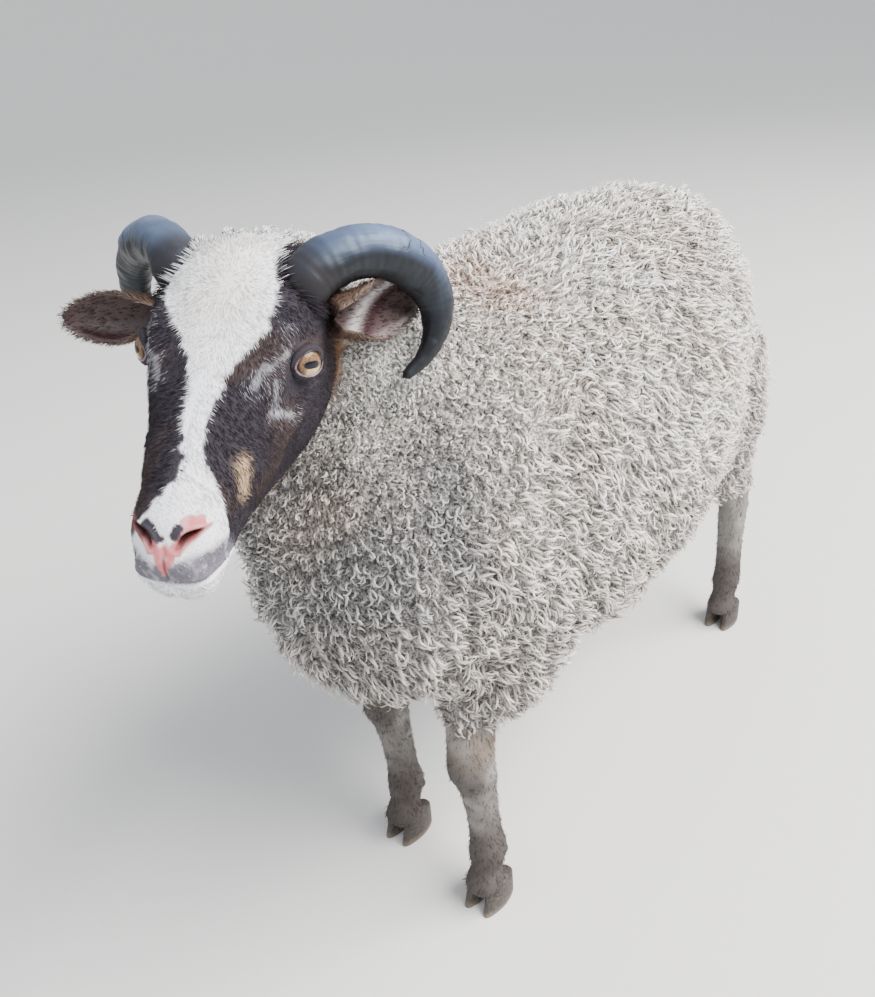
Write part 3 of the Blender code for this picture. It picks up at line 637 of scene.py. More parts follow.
noseMarks = {
    "pinkRim": ((0.2128, 0.0150, -0.0105), (0.2085, 0.0215, -0.0140), 0.0048),
    "between": ((0.2250, -0.0010, -0.0180), (0.2255, 0.0055, -0.0185), 0.0036),
    "bigBlotch": ((0.2160, -0.0105, -0.0115), (0.2228, -0.0018, -0.0150), 0.0042),
    "smallBlotch": ((0.2162, 0.0094, -0.0116), (0.2205, 0.0074, -0.0138), 0.0032),
}


def blended(colour, other, mask):
    return towards(colour, np.array(other), np.clip(mask, 0, 1)[..., None])


def plainColour(colour, shape):
    return np.broadcast_to(np.array(colour), shape).copy()


def marked(colours, ground, shape, marks):
    # a plain ground with named colours laid over it one after another
    colour = plainColour(colours[ground], shape)
    for name, mask in marks:
        colour = blended(colour, colours[name], mask)
    return colour


def opaque(colours):
    return np.column_stack([colours, np.ones(len(colours))])


def layered(colour, name, mask, pick=None):
    # lays a colour over another; with pick, each hair takes the one or the other
    if pick is not None:
        mask = np.clip((mask - pick) * 5 + 0.5, 0, 1) * np.clip(mask * 8, 0, 1)
    return blended(colour, faceColours[name], mask)


def faceMarks(points, ragged=0.0, pick=None):
    # colour of the face at points in the head's axes; ragged shakes the edges, as single hairs do
    x, y, z = points[..., 0], points[..., 1], points[..., 2]
    folded = mirrored(points)
    section = readTable(head["sections"], x)
    top, level, bottom = section[..., 0], section[..., 1], section[..., 2]
    around = np.sign(y) * (np.abs(y) + np.clip(top - z, 0, None))
    edges = readTable(blaze, x)
    shake = 0.0018 * wobble(points, 0.007, 3) + ragged
    inBlaze = np.minimum(around - edges[..., 0], edges[..., 1] - around) + shake
    below = (level - z) / (level - bottom) + 12 * ragged
    colour = plainColour(faceColours["dark"], points.shape)
    # brown at the ear's root, down the back of the cheek and in clouds
    edge = woolEdge(z)
    cheek = ease(x + ragged * 3, edge + 0.030, edge + 0.010) * ease(z, -0.015, -0.040)
    colour = layered(colour, "brown", 0.9 * cheek, pick)
    colour = layered(colour, "brown", 0.30 * ease(wobble(points, 0.030, 5), 0.1, 1.0))
    colour = layered(colour, "tan", ease(below, 0.70, 0.84) * ease(x, 0.222, 0.200), pick)
    colour = layered(colour, "wool", ease(below, 0.86, 0.96) * ease(x, 0.225, 0.200), pick)
    patch = spot(folded, (0.163, 0.033, -0.026), (0.175, 0.033, -0.040), 0.0060)
    colour = layered(colour, "tan", 0.85 * patch * (y > 0), pick)
    column = spot(folded, (0.012, 0.056, -0.052), (0.048, 0.056, -0.104), 0.0110)
    colour = layered(colour, "fawn", 0.95 * column, pick)
    greyPick = np.full(x.shape, 0.75) if pick is None else pick
    for start, end, radius, strength in greyMarks:
        colour = layered(colour, "grey", strength * spot(folded, start, end, radius), greyPick)
    white = ease(inBlaze, -0.0010, 0.0014)
    colour = layered(colour, "white", white)
    warm = spot(points, (0.012, 0, 0), (0.062, 0, 0), 0.028)
    colour = layered(colour, "cream", white * 0.40 * warm)
    away, _ = mouthDistance(points)
    chin = ease(away + shake, 0.000, -0.003) * ease(x, 0.188, 0.206) * ease(below, 1.5, 0.95)
    colour = layered(colour, "white", chin)
    lip = ease(x, 0.200, 0.212) * ease(away, -0.0012, 0.0002) * ease(away, 0.0250, 0.0150)
    lip = lip * ease(z, -0.016, -0.023) * (1.05 + 0.20 * wobble(points, 0.004, 12))
    colour = layered(colour, "lip", lip, None if pick is None else pick * 1.05 + 0.12)
    # the far side of the muzzle
    wing = nearSegment(points, (0.214, -0.021, -0.020), (0.220, -0.018, -0.032)) / 0.0060
    colour = layered(colour, "brown", 0.9 * ease(wing, 1.25, 0.75), pick)
    return markNose(points, colour)


def markReach(points, name, soft):
    start, end, radius = noseMarks[name]
    return ease(nearSegment(points, start, end) / radius, 1 + soft, 1 - soft)


def noseShape(points):
    # 1 on the bare skin of the nose: about the nostrils, the blotches and down the philtrum
    x, z = points[..., 0], points[..., 2]
    aside = np.abs(fromNose(points)[..., 1])
    shaken = points + 0.0005 * wobble(points, 0.004, 9)[..., None]
    width = 0.0066 - 0.0056 * ease(z, -0.0165, -0.0290) + 0.0011 * wobble(points, 0.0032, 10)
    stem = ease(aside - width, 0.0008, -0.0008) * ease(x, 0.218, 0.220)
    stem = stem * ease(z, -0.0135, -0.0155) * ease(z, -0.0330, -0.0300)
    around = ease(nostrilShare(points), 2.15, 1.75)
    marks = [markReach(shaken, name, 0.16) for name in noseMarks]
    return np.maximum.reduce([stem, around, *marks])


def markNose(points, colour):
    x, y, z = points[..., 0], points[..., 1], points[..., 2]
    shaken = points + 0.0005 * wobble(points, 0.004, 9)[..., None]
    colour = layered(colour, "pink", noseShape(points) * (0.92 + 0.10 * wobble(points, 0.003, 13)))
    share = nostrilShare(points)
    # darker round the right nostril, in the blotch colour
    colour = layered(colour, "blotch", 0.75 * ease(share, 2.0, 1.5) * ease(y, -0.010, -0.014))
    for name in ("bigBlotch", "smallBlotch"):
        colour = layered(colour, "blotch", markReach(shaken, name, 0.12))
    # painted shade in the nostrils: dark round each opening
    colour = layered(colour, "inside", 0.7 * ease(share, 1.55, 1.0))
    # painted shade down the groove under the nose
    slit = ease(np.abs(fromNose(points)[..., 1]), 0.0013, 0.0004) * ease(x, 0.216, 0.219)
    slit = slit * ease(z, -0.0175, -0.0200) * ease(z, -0.0330, -0.0300)
    colour = layered(colour, "inside", 0.55 * slit)
    # painted shade, darkest within the nostril
    return layered(colour, "inside", ease(share, 1.15, 0.80))


# Hair and wool: solid tapering tufts round centre lines

bake = {"patch": 0.003, "margin": 0.01}


def buildTufts(lines, widths, flat, ups, tips=3):
    # lines (tufts, points, 3); widths (tufts, points) are half widths; each tuft is a three-sided
    # spindle with its ridge outward
    count, length, _ = lines.shape
    tangents = unit(np.gradient(lines, axis=1))
    sides = unit(np.cross(tangents, ups[:, None, :]))
    rises = np.cross(sides, tangents)
    angles = math.pi / 2 + 2 * math.pi * np.arange(tips) / tips
    rings = [
        lines[:, :-1] + sides[:, :-1] * (math.cos(angle) * widths[:, :-1, None])
        + rises[:, :-1] * (math.sin(angle) * flat * widths[:, :-1, None])
        for angle in angles
    ]
    body = np.stack(rings, 2).reshape(count, (length - 1) * tips, 3)
    points = np.concatenate([body, lines[:, -1:]], 1)
    each = (length - 1) * tips + 1
    faces = [(0, 2, 1)]
    for row in range(length - 2):
        for k in range(tips):
            a, b = row * tips + k, row * tips + (k + 1) % tips
            faces += [(a, b, b + tips), (a, b + tips, a + tips)]
    last = (length - 2) * tips
    faces += [(last + k, last + (k + 1) % tips, each - 1) for k in range(tips)]
    faces = np.array(faces)[None] + (np.arange(count) * each)[:, None, None]
    growth = np.append(np.repeat(np.linspace(0, 1, length)[:-1], tips), 1.0)
    across = np.append(np.tile(np.cos(angles) / math.cos(math.pi / 6), length - 1), 0.0)
    return points.reshape(-1, 3), faces.reshape(-1, 3), np.tile(growth, count), np.tile(across, count), each


def tuftPatches(unwrap, length, tips=3):
    # each tuft's own little square on the unwrap, across by side and up by growth
    low, high = unwrap.min(0), unwrap.max(0)
    roots = bake["margin"] + (unwrap - low) / np.maximum(high - low, 1e-6) * (1 - 2 * bake["margin"])
    across = np.append(np.tile(np.arange(tips) / tips, length - 1), 0.5) - 0.5
    up = np.append(np.repeat(np.linspace(0, 1, length)[:-1], tips), 1.0) - 0.5
    cell = np.stack([across, up], -1) * bake["patch"]
    return (roots[:, None] + cell[None]).reshape(-1, 2)


def tuftPiece(name, lines, widths, flat, ups, colours, unwrap, paint, slot, strands=0.0, limit=190000):
    # one coat, in as many pieces as its triangles need
    each = (lines.shape[1] - 2) * 6 + 4
    parts = max(1, math.ceil(len(lines) * each / limit))
    order = np.argsort(unwrap[:, 1], kind="stable")
    draw = np.random.default_rng(len(lines))
    for number, chosen in enumerate(np.array_split(order, parts)):
        points, faces, growth, across, size = buildTufts(lines[chosen], widths[chosen], flat, ups[chosen])
        # the wrong way round for one tuft is wrong for all of them
        one = faces[: len(faces) // len(chosen)]
        middle = points[:size].mean(0)
        a, b, c = (points[one[:, k]] - middle for k in range(3))
        if dot(np.cross(a, b), c).sum() < 0:
            faces = faces[:, ::-1]
        values = {
            "growth": growth, "across": across * strands, "seed": np.repeat(draw.random(len(chosen)), size),
            "coat": opaque(np.repeat(colours[chosen], size, 0)),
        }
        patches = tuftPatches(unwrap[chosen], lines.shape[1])
        obj = meshObject(f"{name}{number + 1}" if parts > 1 else name, points, faces, values, patches)
        dress(obj, paint, slot)


def bentLines(roots, normals, lies, length, leanRoot, leanTip, points, sink, heading=None):
    # centre lines that leave the skin near its normal and bend over along the lie; heading turns
    # them aside over the skin, in radians at each of their points
    t = np.linspace(0, 1, points)
    lean = leanRoot[:, None] + (leanTip - leanRoot)[:, None] * t[None] ** 0.8
    flat = lies[:, None]
    if heading is not None:
        sides = np.cross(normals, lies)[:, None]
        flat = np.cos(heading)[..., None] * flat + np.sin(heading)[..., None] * sides
    ways = np.cos(lean)[..., None] * normals[:, None] + np.sin(lean)[..., None] * flat
    steps = ways * (length / (points - 1))[:, None, None]
    lines = np.cumsum(np.concatenate([np.zeros_like(steps[:, :1]), (steps[:, 1:] + steps[:, :-1]) / 2], 1), 1)
    return lines + (roots - normals * sink)[:, None]


def trianglesOf(obj):
    # corners of a mesh's triangles, in the sheep's own axes
    mesh = obj.data
    mesh.calc_loop_triangles()
    spots = np.empty(len(mesh.vertices) * 3, np.float32)
    mesh.vertices.foreach_get("co", spots)
    corners = np.empty(len(mesh.loop_triangles) * 3, np.int32)
    mesh.loop_triangles.foreach_get("vertices", corners)
    return (spots.reshape(-1, 3).astype(float) - homeShift)[corners.reshape(-1, 3)]


def scatter(triangles, count, draw):
    # random places on triangles, by area, with their normals
    a, b, c = triangles[:, 0], triangles[:, 1], triangles[:, 2]
    cross = np.cross(b - a, c - a)
    area = np.linalg.norm(cross, axis=1)
    chosen = draw.choice(len(triangles), count, p=area / area.sum())
    u, v = draw.random((2, count))
    low, high = np.minimum(u, v)[:, None], np.maximum(u, v)[:, None]
    places = a[chosen] * low + b[chosen] * (high - low) + c[chosen] * (1 - high)
    return places, unit(cross[chosen])


def spaced(places, pitch):
    # keeps each place that is at least its pitch away from those kept before it
    cells, kept = {}, []
    keys = np.floor(places / pitch.max()).astype(int)
    near = [(a, b, c) for a in (-1, 0, 1) for b in (-1, 0, 1) for c in (-1, 0, 1)]
    for i, key in enumerate(keys.tolist()):
        others = [k for a, b, c in near for k in cells.get((key[0] + a, key[1] + b, key[2] + c), ())]
        if others:
            away = places[others] - places[i]
            if (away * away).sum(1).min() < pitch[i] ** 2:
                continue
        kept.append(i)
        cells.setdefault(tuple(key), []).append(i)
    return np.array(kept)


# Trunk, neck, thighs, tail and legs: the frame's own outline, drawn in by the depth of the wool

trunk = {
    "sections": (
        # place along x, back, belly, half width
        (-0.405, 0.604, 0.370, 0.100),
        (-0.345, 0.653, 0.300, 0.131),
        (-0.220, 0.674, 0.258, 0.174),
        (-0.070, 0.674, 0.243, 0.200),
        (0.080, 0.670, 0.246, 0.194),
        (0.200, 0.656, 0.266, 0.164),
        (0.300, 0.600, 0.312, 0.124),
    ),
    "rumpEnd": -0.434, "breastEnd": 0.372, "squareness": 2.35,
    "woolDepth": 0.016, "lumps": 0.0026,
}
neck = {
    "sections": (
        # centre, rise and turn of the section in degrees, half height, half width
        (0.120, 0.000, 0.480, 35, 0, 0.160, 0.150),
        (0.180, -0.004, 0.530, 42, 0, 0.150, 0.142),
        (0.225, -0.012, 0.575, 38, 4, 0.128, 0.124),
        (0.264, -0.020, 0.612, 20, 12, 0.102, 0.106),
        (0.298, -0.026, 0.636, -4, 20, 0.086, 0.092),
    ),
    "dome": 0.022, "woolDepth": 0.015,
    "shoulder": (0.225, 0.0, 0.585), "shoulderWay": (0.62, 0.0, 0.78),
}
sleeves = {
    "thigh": ((-0.300, 0.079, 0.470), (-0.384, 0.094, 0.228), (0.102, 0.096, 0.071, 0.045)),
    "forearm": ((0.150, 0.086, 0.420), (0.188, 0.080, 0.272), (0.098, 0.092, 0.078, 0.056)),
    "rightForearmBack": 0.030, "woolDepth": 0.013,
}
tail = {
    "path": (
        # down the tail: x, z, half width, half depth
        (-0.390, 0.588, 0.028, 0.020), (-0.408, 0.548, 0.031, 0.021),
        (-0.420, 0.500, 0.025, 0.018), (-0.425, 0.452, 0.015, 0.012),
    ),
    "woolDepth": 0.007,
}
legs = {
    "fore": (
        # height, how far ahead of the hoof, half width, half depth
        (0.025, 0.005, 0.0170, 0.0180), (0.031, 0.005, 0.0200, 0.0212), (0.040, 0.003, 0.0186, 0.0200),
        (0.050, -0.001, 0.0160, 0.0180), (0.071, -0.005, 0.0186, 0.0214), (0.095, -0.003, 0.0162, 0.0188),
        (0.135, 0.001, 0.0158, 0.0180), (0.180, 0.008, 0.0188, 0.0208), (0.204, 0.014, 0.0230, 0.0240),
        (0.226, 0.010, 0.0225, 0.0240), (0.262, -0.002, 0.0240, 0.0275), (0.310, -0.006, 0.030, 0.036),
        (0.365, -0.004, 0.036, 0.046),
    ),
    "hind": (
        (0.025, 0.005, 0.0165, 0.0180), (0.031, 0.005, 0.0196, 0.0212), (0.040, 0.001, 0.0182, 0.0200),
        (0.050, -0.003, 0.0160, 0.0180), (0.073, -0.010, 0.0180, 0.0210), (0.100, -0.011, 0.0175, 0.0195),
        (0.140, -0.010, 0.0175, 0.0190), (0.190, -0.010, 0.0190, 0.0215), (0.222, -0.016, 0.0190, 0.0250),
        (0.248, -0.014, 0.0200, 0.0285), (0.280, 0.008, 0.0260, 0.0340), (0.330, 0.046, 0.030, 0.044),
        (0.390, 0.070, 0.036, 0.060),
    ),
    "lean": 0.13, "leanFrom": 0.20,
    "feet": {
        "foreleg_left": (0.222, 0.071), "foreleg_right": (0.190, -0.062),
        "hindleg_left": (-0.388, 0.110), "hindleg_right": (-0.362, -0.104),
    },
}


def corners(squareness, count):
    # points of a squared-off unit circle
    angles = fullTurn(count)
    c, s = np.cos(angles), np.sin(angles)
    return np.sign(c) * np.abs(c) ** (2 / squareness), np.sign(s) * np.abs(s) ** (2 / squareness)


def trunkRings(inset, count=96, sides=108):
    first, last = trunk["rumpEnd"] + inset, trunk["breastEnd"] - inset
    x = (first + last) / 2 - (last - first) / 2 * np.cos(np.linspace(0, math.pi, count)[1:-1])
    top, bottom, half = readTable(trunk["sections"], x).T
    low, high = trunk["sections"][0][0], trunk["sections"][-1][0]
    past = np.clip((low - x) / (low - first), 0, 1) + np.clip((x - high) / (last - high), 0, 1)
    rounding = np.sqrt(np.clip(1 - past ** 2, 0.0004, 1))
    across, up = corners(trunk["squareness"], sides)
    tall, wide = ((top - bottom) / 2 - inset) * rounding, (half - inset) * rounding
    rings = np.stack([
        np.broadcast_to(x[:, None], (len(x), sides)), across[None] * wide[:, None],
        ((top + bottom) / 2)[:, None] + up[None] * tall[:, None],
    ], -1)
    middle = (top + bottom) / 2
    return rings, (first, 0, middle[0]), (last, 0, middle[-1])


def neckRings(inset, count=44, sides=72):
    places = np.linspace(0, len(neck["sections"]) - 1, count)
    table = [(k, *row) for k, row in enumerate(neck["sections"])]
    x, y, z, rise, turn, tall, wide = readTable(table, places).T
    rise, turn = np.radians(rise), np.radians(turn)
    ahead = np.stack([np.cos(rise) * np.cos(turn), np.cos(rise) * np.sin(turn), np.sin(rise)], -1)
    side = unit(np.cross((0, 0, 1), ahead))
    up = np.cross(ahead, side)
    angles = fullTurn(sides)[None, :, None]
    centre = np.stack([x, y, z], -1)
    rings = (
        centre[:, None] + side[:, None] * np.cos(angles) * (wide - inset)[:, None, None]
        + up[:, None] * np.sin(angles) * (tall - inset)[:, None, None]
    )
    dome = []
    for share in (0.3, 0.55, 0.75, 0.9, 0.98):
        shrink = math.sqrt(1 - share ** 2)
        dome.append(centre[-1] + ahead[-1] * neck["dome"] * share + (rings[-1] - centre[-1]) * shrink)
    return np.vstack([rings, dome]), centre[0], centre[-1] + ahead[-1] * neck["dome"]


def sleeveRings(name, side, inset, back=0.0, count=26, sides=44):
    top, hem, radii = sleeves[name]
    t = np.linspace(0, 1, count)
    centre = np.array(top) + (np.array(hem) - top) * t[:, None] - (back, 0, 0)
    radius = evenly(radii, t) - inset
    a = fullTurn(sides)
    spots = np.stack([np.cos(a) * 1.05, np.sin(a) * 0.80, np.zeros(sides)], -1)
    rings = centre[:, None] + spots[None] * radius[:, None, None]
    rings[..., 1] *= side
    return rings, rings[0].mean(0), rings[-1].mean(0) - (0, 0, 0.004)


def tailRings(inset, count=30, sides=36):
    table = np.array([(k, *row) for k, row in enumerate(tail["path"])])
    x, z, wide, deep = readTable(table, np.linspace(0, 3, count)).T
    a = fullTurn(sides)
    rings = np.stack([
        x[:, None] + np.cos(a) * (deep[:, None] - inset / 2), np.sin(a) * (wide[:, None] - inset / 2),
        np.repeat(z[:, None], sides, 1),
    ], -1)
    return rings, rings[0].mean(0) + (0.02, 0, 0.004), rings[-1].mean(0) - (0, 0, 0.010)


def legKind(name):
    return "fore" if name.startswith("fore") else "hind"


def legRings(name, step=0.0034, sides=40):
    x, y = legs["feet"][name]
    table = legs[legKind(name)]
    height = np.arange(table[0][0], table[-1][0], step)
    ahead, wide, deep = readTable(table, height).T
    inward = np.clip(height - legs["leanFrom"], 0, None) * legs["lean"] * np.sign(y)
    out, over = corners(2.2, sides)
    rings = np.stack([
        x + ahead[:, None] + out[None] * deep[:, None],
        y - inward[:, None] + over[None] * wide[:, None], np.repeat(height[:, None], sides, 1),
    ], -1)
    return shapeLeg(rings, name, x, y), rings[0].mean(0), rings[-1].mean(0)


# Bones and sinews of the lower legs: height, ahead, to its side, radius, height of the swelling
legForms = {
    "fore": (
        (0.204, 0.036, 0.000, 0.013, 0.0025), (0.190, 0.004, 0.022, 0.010, 0.0014),
        (0.190, 0.004, -0.022, 0.010, 0.0014), (0.214, -0.010, 0.000, 0.010, 0.0024),
        (0.072, -0.026, 0.000, 0.010, 0.0030), (0.070, 0.000, 0.018, 0.010, 0.0016),
        (0.070, 0.000, -0.018, 0.010, 0.0016),
    ),
    "hind": (
        (0.256, -0.044, 0.000, 0.014, 0.0050), (0.222, -0.006, 0.018, 0.012, 0.0018),
        (0.222, -0.006, -0.018, 0.012, 0.0018), (0.074, -0.030, 0.000, 0.010, 0.0030),
        (0.070, -0.004, 0.018, 0.010, 0.0016), (0.070, -0.004, -0.018, 0.010, 0.0016),
    ),
}


def shapeLeg(rings, name, x, y):
    normals = ringNormals(rings)
    lift = np.zeros(rings.shape[:2])
    for height, ahead, beside, radius, swell in legForms[legKind(name)]:
        away = np.linalg.norm(rings - (x + ahead, y + beside, height), axis=-1)
        lift += swell * bell(away, 0, radius)
    # the hollow between the bone and the sinew behind it
    behind = rings[..., 0] - rings[..., 0].mean(1, keepdims=True)
    straight = ease(rings[..., 2], 0.085, 0.105) * ease(rings[..., 2], 0.200, 0.175)
    lift -= 0.0022 * straight * bell(behind, -0.0045, 0.0038)
    return rings + normals * lift[..., None]


def lumpy(rings, depth, size, seed):
    return rings + ringNormals(rings) * (depth * wobble(rings, size, seed))[..., None]


def closed(name, rings, firstPole, lastPole):
    return meshObject(name, *loftMesh(rings, np.asarray(firstPole, float), np.asarray(lastPole, float)))


def buildHeadGrid():
    rings = fromHead(shapeHead(headRings()))
    first, last = rings[0].mean(0), rings[-1].mean(0)
    return rings, first + unit(first - last) * 0.008, last + unit(last - first) * 0.0004


headGrid = buildHeadGrid()
print("head: shaped,", headGrid[0].shape[0], "by", headGrid[0].shape[1])


def buildSkin():
    depth = trunk["woolDepth"]
    rings, first, last = trunkRings(depth)
    parts = [closed("trunk", lumpy(rings, trunk["lumps"], 0.045, 21), first, last)]
    rings, first, last = neckRings(neck["woolDepth"])
    parts.append(closed("neckCore", lumpy(rings, trunk["lumps"], 0.040, 22), first, last))
    for side in (1, -1):
        back = sleeves["rightForearmBack"] if side < 0 else 0.0
        for name in ("thigh", "forearm"):
            behind = back if name == "forearm" else 0.0
            parts.append(closed(name, *sleeveRings(name, side, sleeves["woolDepth"], behind)))
    parts.append(closed("tailCore", *tailRings(tail["woolDepth"])))
    for name in legs["feet"]:
        parts.append(closed(name + "Core", *legRings(name)))
    parts.append(closed("headCore", *headGrid))
    return fuse(parts, "skin")


def onHead(points, grow=0.004):
    # whether places given in the head's axes lie on the head or within it
    x = points[..., 0]
    top, level, bottom, half, above, below = np.moveaxis(readTable(head["sections"], x), -1, 0)
    z = points[..., 2] - level
    tall = np.where(z >= 0, top - level, level - bottom) + grow
    square = np.where(z >= 0, above, below)
    share = (np.abs(points[..., 1]) / (half + grow)) ** square + (np.abs(z) / tall) ** square
    byEye = np.linalg.norm(mirrored(points) - eye["centre"], axis=-1) < eye["radius"] + 0.007
    return byEye | (share < 1) & (x > head["sections"][0][0] - 0.01) & (x < head["muzzleEnd"] + grow)


# How far along the head the wool reaches: height and place in the head's axes
woolLimit = (
    (-0.150, 0.062), (-0.120, 0.034), (-0.080, 0.012), (-0.040, -0.002), (0.0, -0.010), (0.03, -0.012),
)


def woolEdge(z):
    return readTable(woolLimit, z)[..., 0]


def woolStarts(points):
    edge = woolEdge(points[..., 2])
    return ease(points[..., 0], edge + 0.006, edge - 0.006)


def legShare(points):
    # 1 where the short-haired leg shows, 0 up in the wool
    z = points[..., 2]
    hem = np.where(points[..., 0] > 0, 0.262, 0.232)
    return ease(z, hem + 0.012, hem - 0.012)


legColours = {
    "coat": (0.165, 0.153, 0.142), "rust": (0.22, 0.160, 0.120), "dark": (0.052, 0.043, 0.040),
    "pale": (0.33, 0.325, 0.315),
}


def nearestFoot(points):
    # the number of the nearest foot, and the way from it over the ground
    feet = np.array(list(legs["feet"].values()))
    nearest = np.argmin(((points[..., None, :2] - feet) ** 2).sum(-1), -1)
    return nearest, points[..., :2] - feet[nearest]


def legMarks(points):
    x, z = points[..., 0], points[..., 2]
    ahead = nearestFoot(points)[1][..., 0]
    return marked(legColours, "coat", points.shape, (
        ("rust", 0.6 * ease(z, 0.205, 0.240)),
        ("pale", 0.2 * ease(x, 0.0, -0.1)),
        ("pale", 0.45 * ease(wobble(points, 0.020, 31), 0.0, 1.2)),
        ("dark", 0.85 * ease(z, 0.150, 0.095)),
        # the dark front of the knee
        ("dark", 0.8 * ease(ahead, 0.016, 0.030) * bell(z, 0.200, 0.028) * (x > 0)),
        ("dark", 0.35 * ease(wobble(points, 0.012, 32), 0.2, 1.4)),
    ))


woolColours = {
    "plain": (0.91, 0.855, 0.810), "grey": (0.390, 0.382, 0.382), "warm": (0.86, 0.74, 0.64),
    "cream": (0.93, 0.89, 0.83), "rust": (0.97, 0.75, 0.65), "shade": (0.60, 0.560, 0.530),
}


def besideFace(points):
    # the fine pale wool behind the left cheek
    return ease(np.linalg.norm(points - (0.300, 0.040, 0.645), axis=-1), 0.085, 0.045)


def woolMarks(points):
    # colour of the wool's tips over the body
    halo = ease(nearSegment(intoHead(points), (0.00, 0, -0.05), (0.02, 0, -0.11)), 0.105, 0.070)
    return marked(woolColours, "plain", points.shape, (
        # grey wool on the front of the neck and chest, its darkness partly painted shade
        ("grey", 0.88 * ease(points[..., 0], 0.205, 0.285)),
        ("warm", 0.55 * ease(wobble(points, 0.075, 41), 0.1, 1.3)),
        ("shade", 0.45 * ease(wobble(points, 0.055, 42), 0.2, 1.5)),
        ("cream", 0.35 * ease(wobble(points, 0.050, 43), 0.3, 1.5)),
        # painted shade: darker towards the belly
        ("shade", 0.9 * ease(points[..., 2], 0.50, 0.36)),
        ("rust", spot(points, (0.094, -0.011, 0.656), (0.121, 0.053, 0.654), 0.038)),
        ("cream", 0.9 * np.maximum(halo * (pastShoulder(points) > 0), besideFace(points))),
    ))


# Materials

def woolPaint():
    # fine wavy strands along each lock, dark between them; darker at the roots, which is painted shade deep in
    # the fleece, and crimp bands of painted light and shade
    paint = Paint("wool", 0.90, Specular_IOR_Level=0.25)
    growth, across, seed = paint.point("growth"), paint.point("across"), paint.point("seed")
    crimp = (growth * 24.0 + seed * 60.0).sine()
    strands = ((across + crimp * 0.20 + seed * 7.0) * (2 * math.pi)).sine() * 0.5 + 0.5
    # crimp bands across each lock: painted light and shade of the crimp's ripples, also used as bump
    bands = (growth * 46.0 + across * 1.2 + seed * 60.0).sine() * 0.5 + 0.5
    fine = paint.noise(0.0016, 3.0)
    # darker towards the root: painted shade deep in the fleece
    coat = paint.shade(paint.colour("coat"), 0.50 + 0.66 * growth.within(0.0, 0.72))
    toned = paint.shade(coat, 0.76 + 0.26 * strands + 0.12 * bands)
    patch = paint.noise(0.024, 4.0)
    toned = paint.shade(toned, 0.88 + 0.36 * patch)
    toned = paint.shade(toned, 0.80 + 0.42 * fine)
    return paint.finish(toned, strands * 0.5 + bands * 0.6 + fine, 0.0007, 0.7)


def hairPaint():
    paint = Paint("hair", 0.62, Specular_IOR_Level=0.12)
    growth = paint.point("growth")
    coat = paint.colour("coat")
    # darker towards the root: painted shade among the hairs
    toned = paint.shade(coat, 0.72 + 0.36 * growth.within(0.0, 0.9))
    fine = paint.noise(0.0030, 2.0)
    return paint.finish(paint.shade(toned, 0.86 + 0.28 * fine))


def skinPaint():
    # the hide under wool and hair, and the bare skin of the nose
    paint = Paint("hide", 0.80, Specular_IOR_Level=0.18)
    coat, bare, fleece = paint.colour("coat"), paint.point("bare"), paint.point("fleece")
    coarse = paint.noise(0.0090, 5.0)
    fine = paint.noise(0.0016, 3.0)
    pores = paint.noise(0.0011, 2.0)
    curls = paint.noise(0.0024, 3.0).within(0.36, 0.64)
    value = 0.80 + 0.40 * fine * (1 - fleece) + fleece * (coarse * 0.7 + curls * 0.95 - 0.85)
    height = fleece * (coarse * 2.6 + curls * 0.8) + (1 - fleece) * (1 - bare) * fine * 0.55
    height = height + bare * pores * 0.16
    return paint.finish(paint.shade(coat, value), height, 0.0022, 0.8, 0.84 - 0.26 * bare)


def hornPaint():
    paint = Paint("horn", 0.42, Specular_Tint=rgb(0.70, 0.86, 1.0), Specular_IOR_Level=0.30)
    along, upper = paint.point("along"), paint.point("upper")
    grain = paint.noise(0.10, 5.0, paint.wire("Attribute", {"attribute_name": "grain"}, (), "Vector"))
    rings = (along * 110.0 + paint.noise(0.020, 2.0) * 5.0).sine()
    streak = paint.noise(0.0035, 4.0)
    clouds = paint.noise(0.028, 3.0)
    # blue-grey above, a painted sky sheen broken into clouds; near black below, which is painted shade, and
    # near black at the tip
    skySheen = upper.within(-0.02, 0.80) * along.within(0.80, 0.46) * (0.40 + 1.1 * clouds)
    skySheen = skySheen * (0.60 + 0.40 * along.within(0.10, 0.36))
    colour = paint.blend(rgb(0.010, 0.009, 0.010), rgb(0.086, 0.124, 0.215), skySheen)
    # grey grain streaks, shown only within the painted sky sheen
    colour = paint.blend(colour, rgb(0.130, 0.145, 0.165), grain.within(0.56, 0.80) * skySheen * 0.7)
    root = along.within(0.15, 0.03)
    colour = paint.blend(colour, rgb(0.016, 0.012, 0.012), root * 0.9)
    crack = (along * 52.0 + paint.noise(0.009, 2.0) * 5.0).sine().size().within(0.20, 0.07)
    crack = crack * along.within(0.31, 0.35) * along.within(0.53, 0.48) * upper.within(0.20, 0.50)
    colour = paint.blend(colour, rgb(0.010, 0.009, 0.009), crack * 0.9)
    height = rings * 0.16 + streak * 0.35 + grain * 0.9 - crack * 1.2
    return paint.finish(colour, height, 0.0005, 0.6, 0.34 + 0.14 * streak + 0.2 * crack + 0.2 * root)


def hoofPaint():
    paint = Paint("hoof", 0.55)
    up = paint.point("up")
    rings = (up * 330.0 + paint.noise(0.012, 2.0) * 4.0).sine()
    streak = paint.noise(0.0028, 4.0)
    colour = paint.blend(rgb(0.030, 0.025, 0.022), rgb(0.10, 0.082, 0.066), streak.within(0.4, 0.8))
    colour = paint.blend(colour, rgb(0.24, 0.19, 0.14), up.within(0.010, 0.0) * 0.55)
    return paint.finish(colour, rings * 0.30 + streak * 0.5, 0.0007, 0.8, 0.48 + 0.25 * streak)


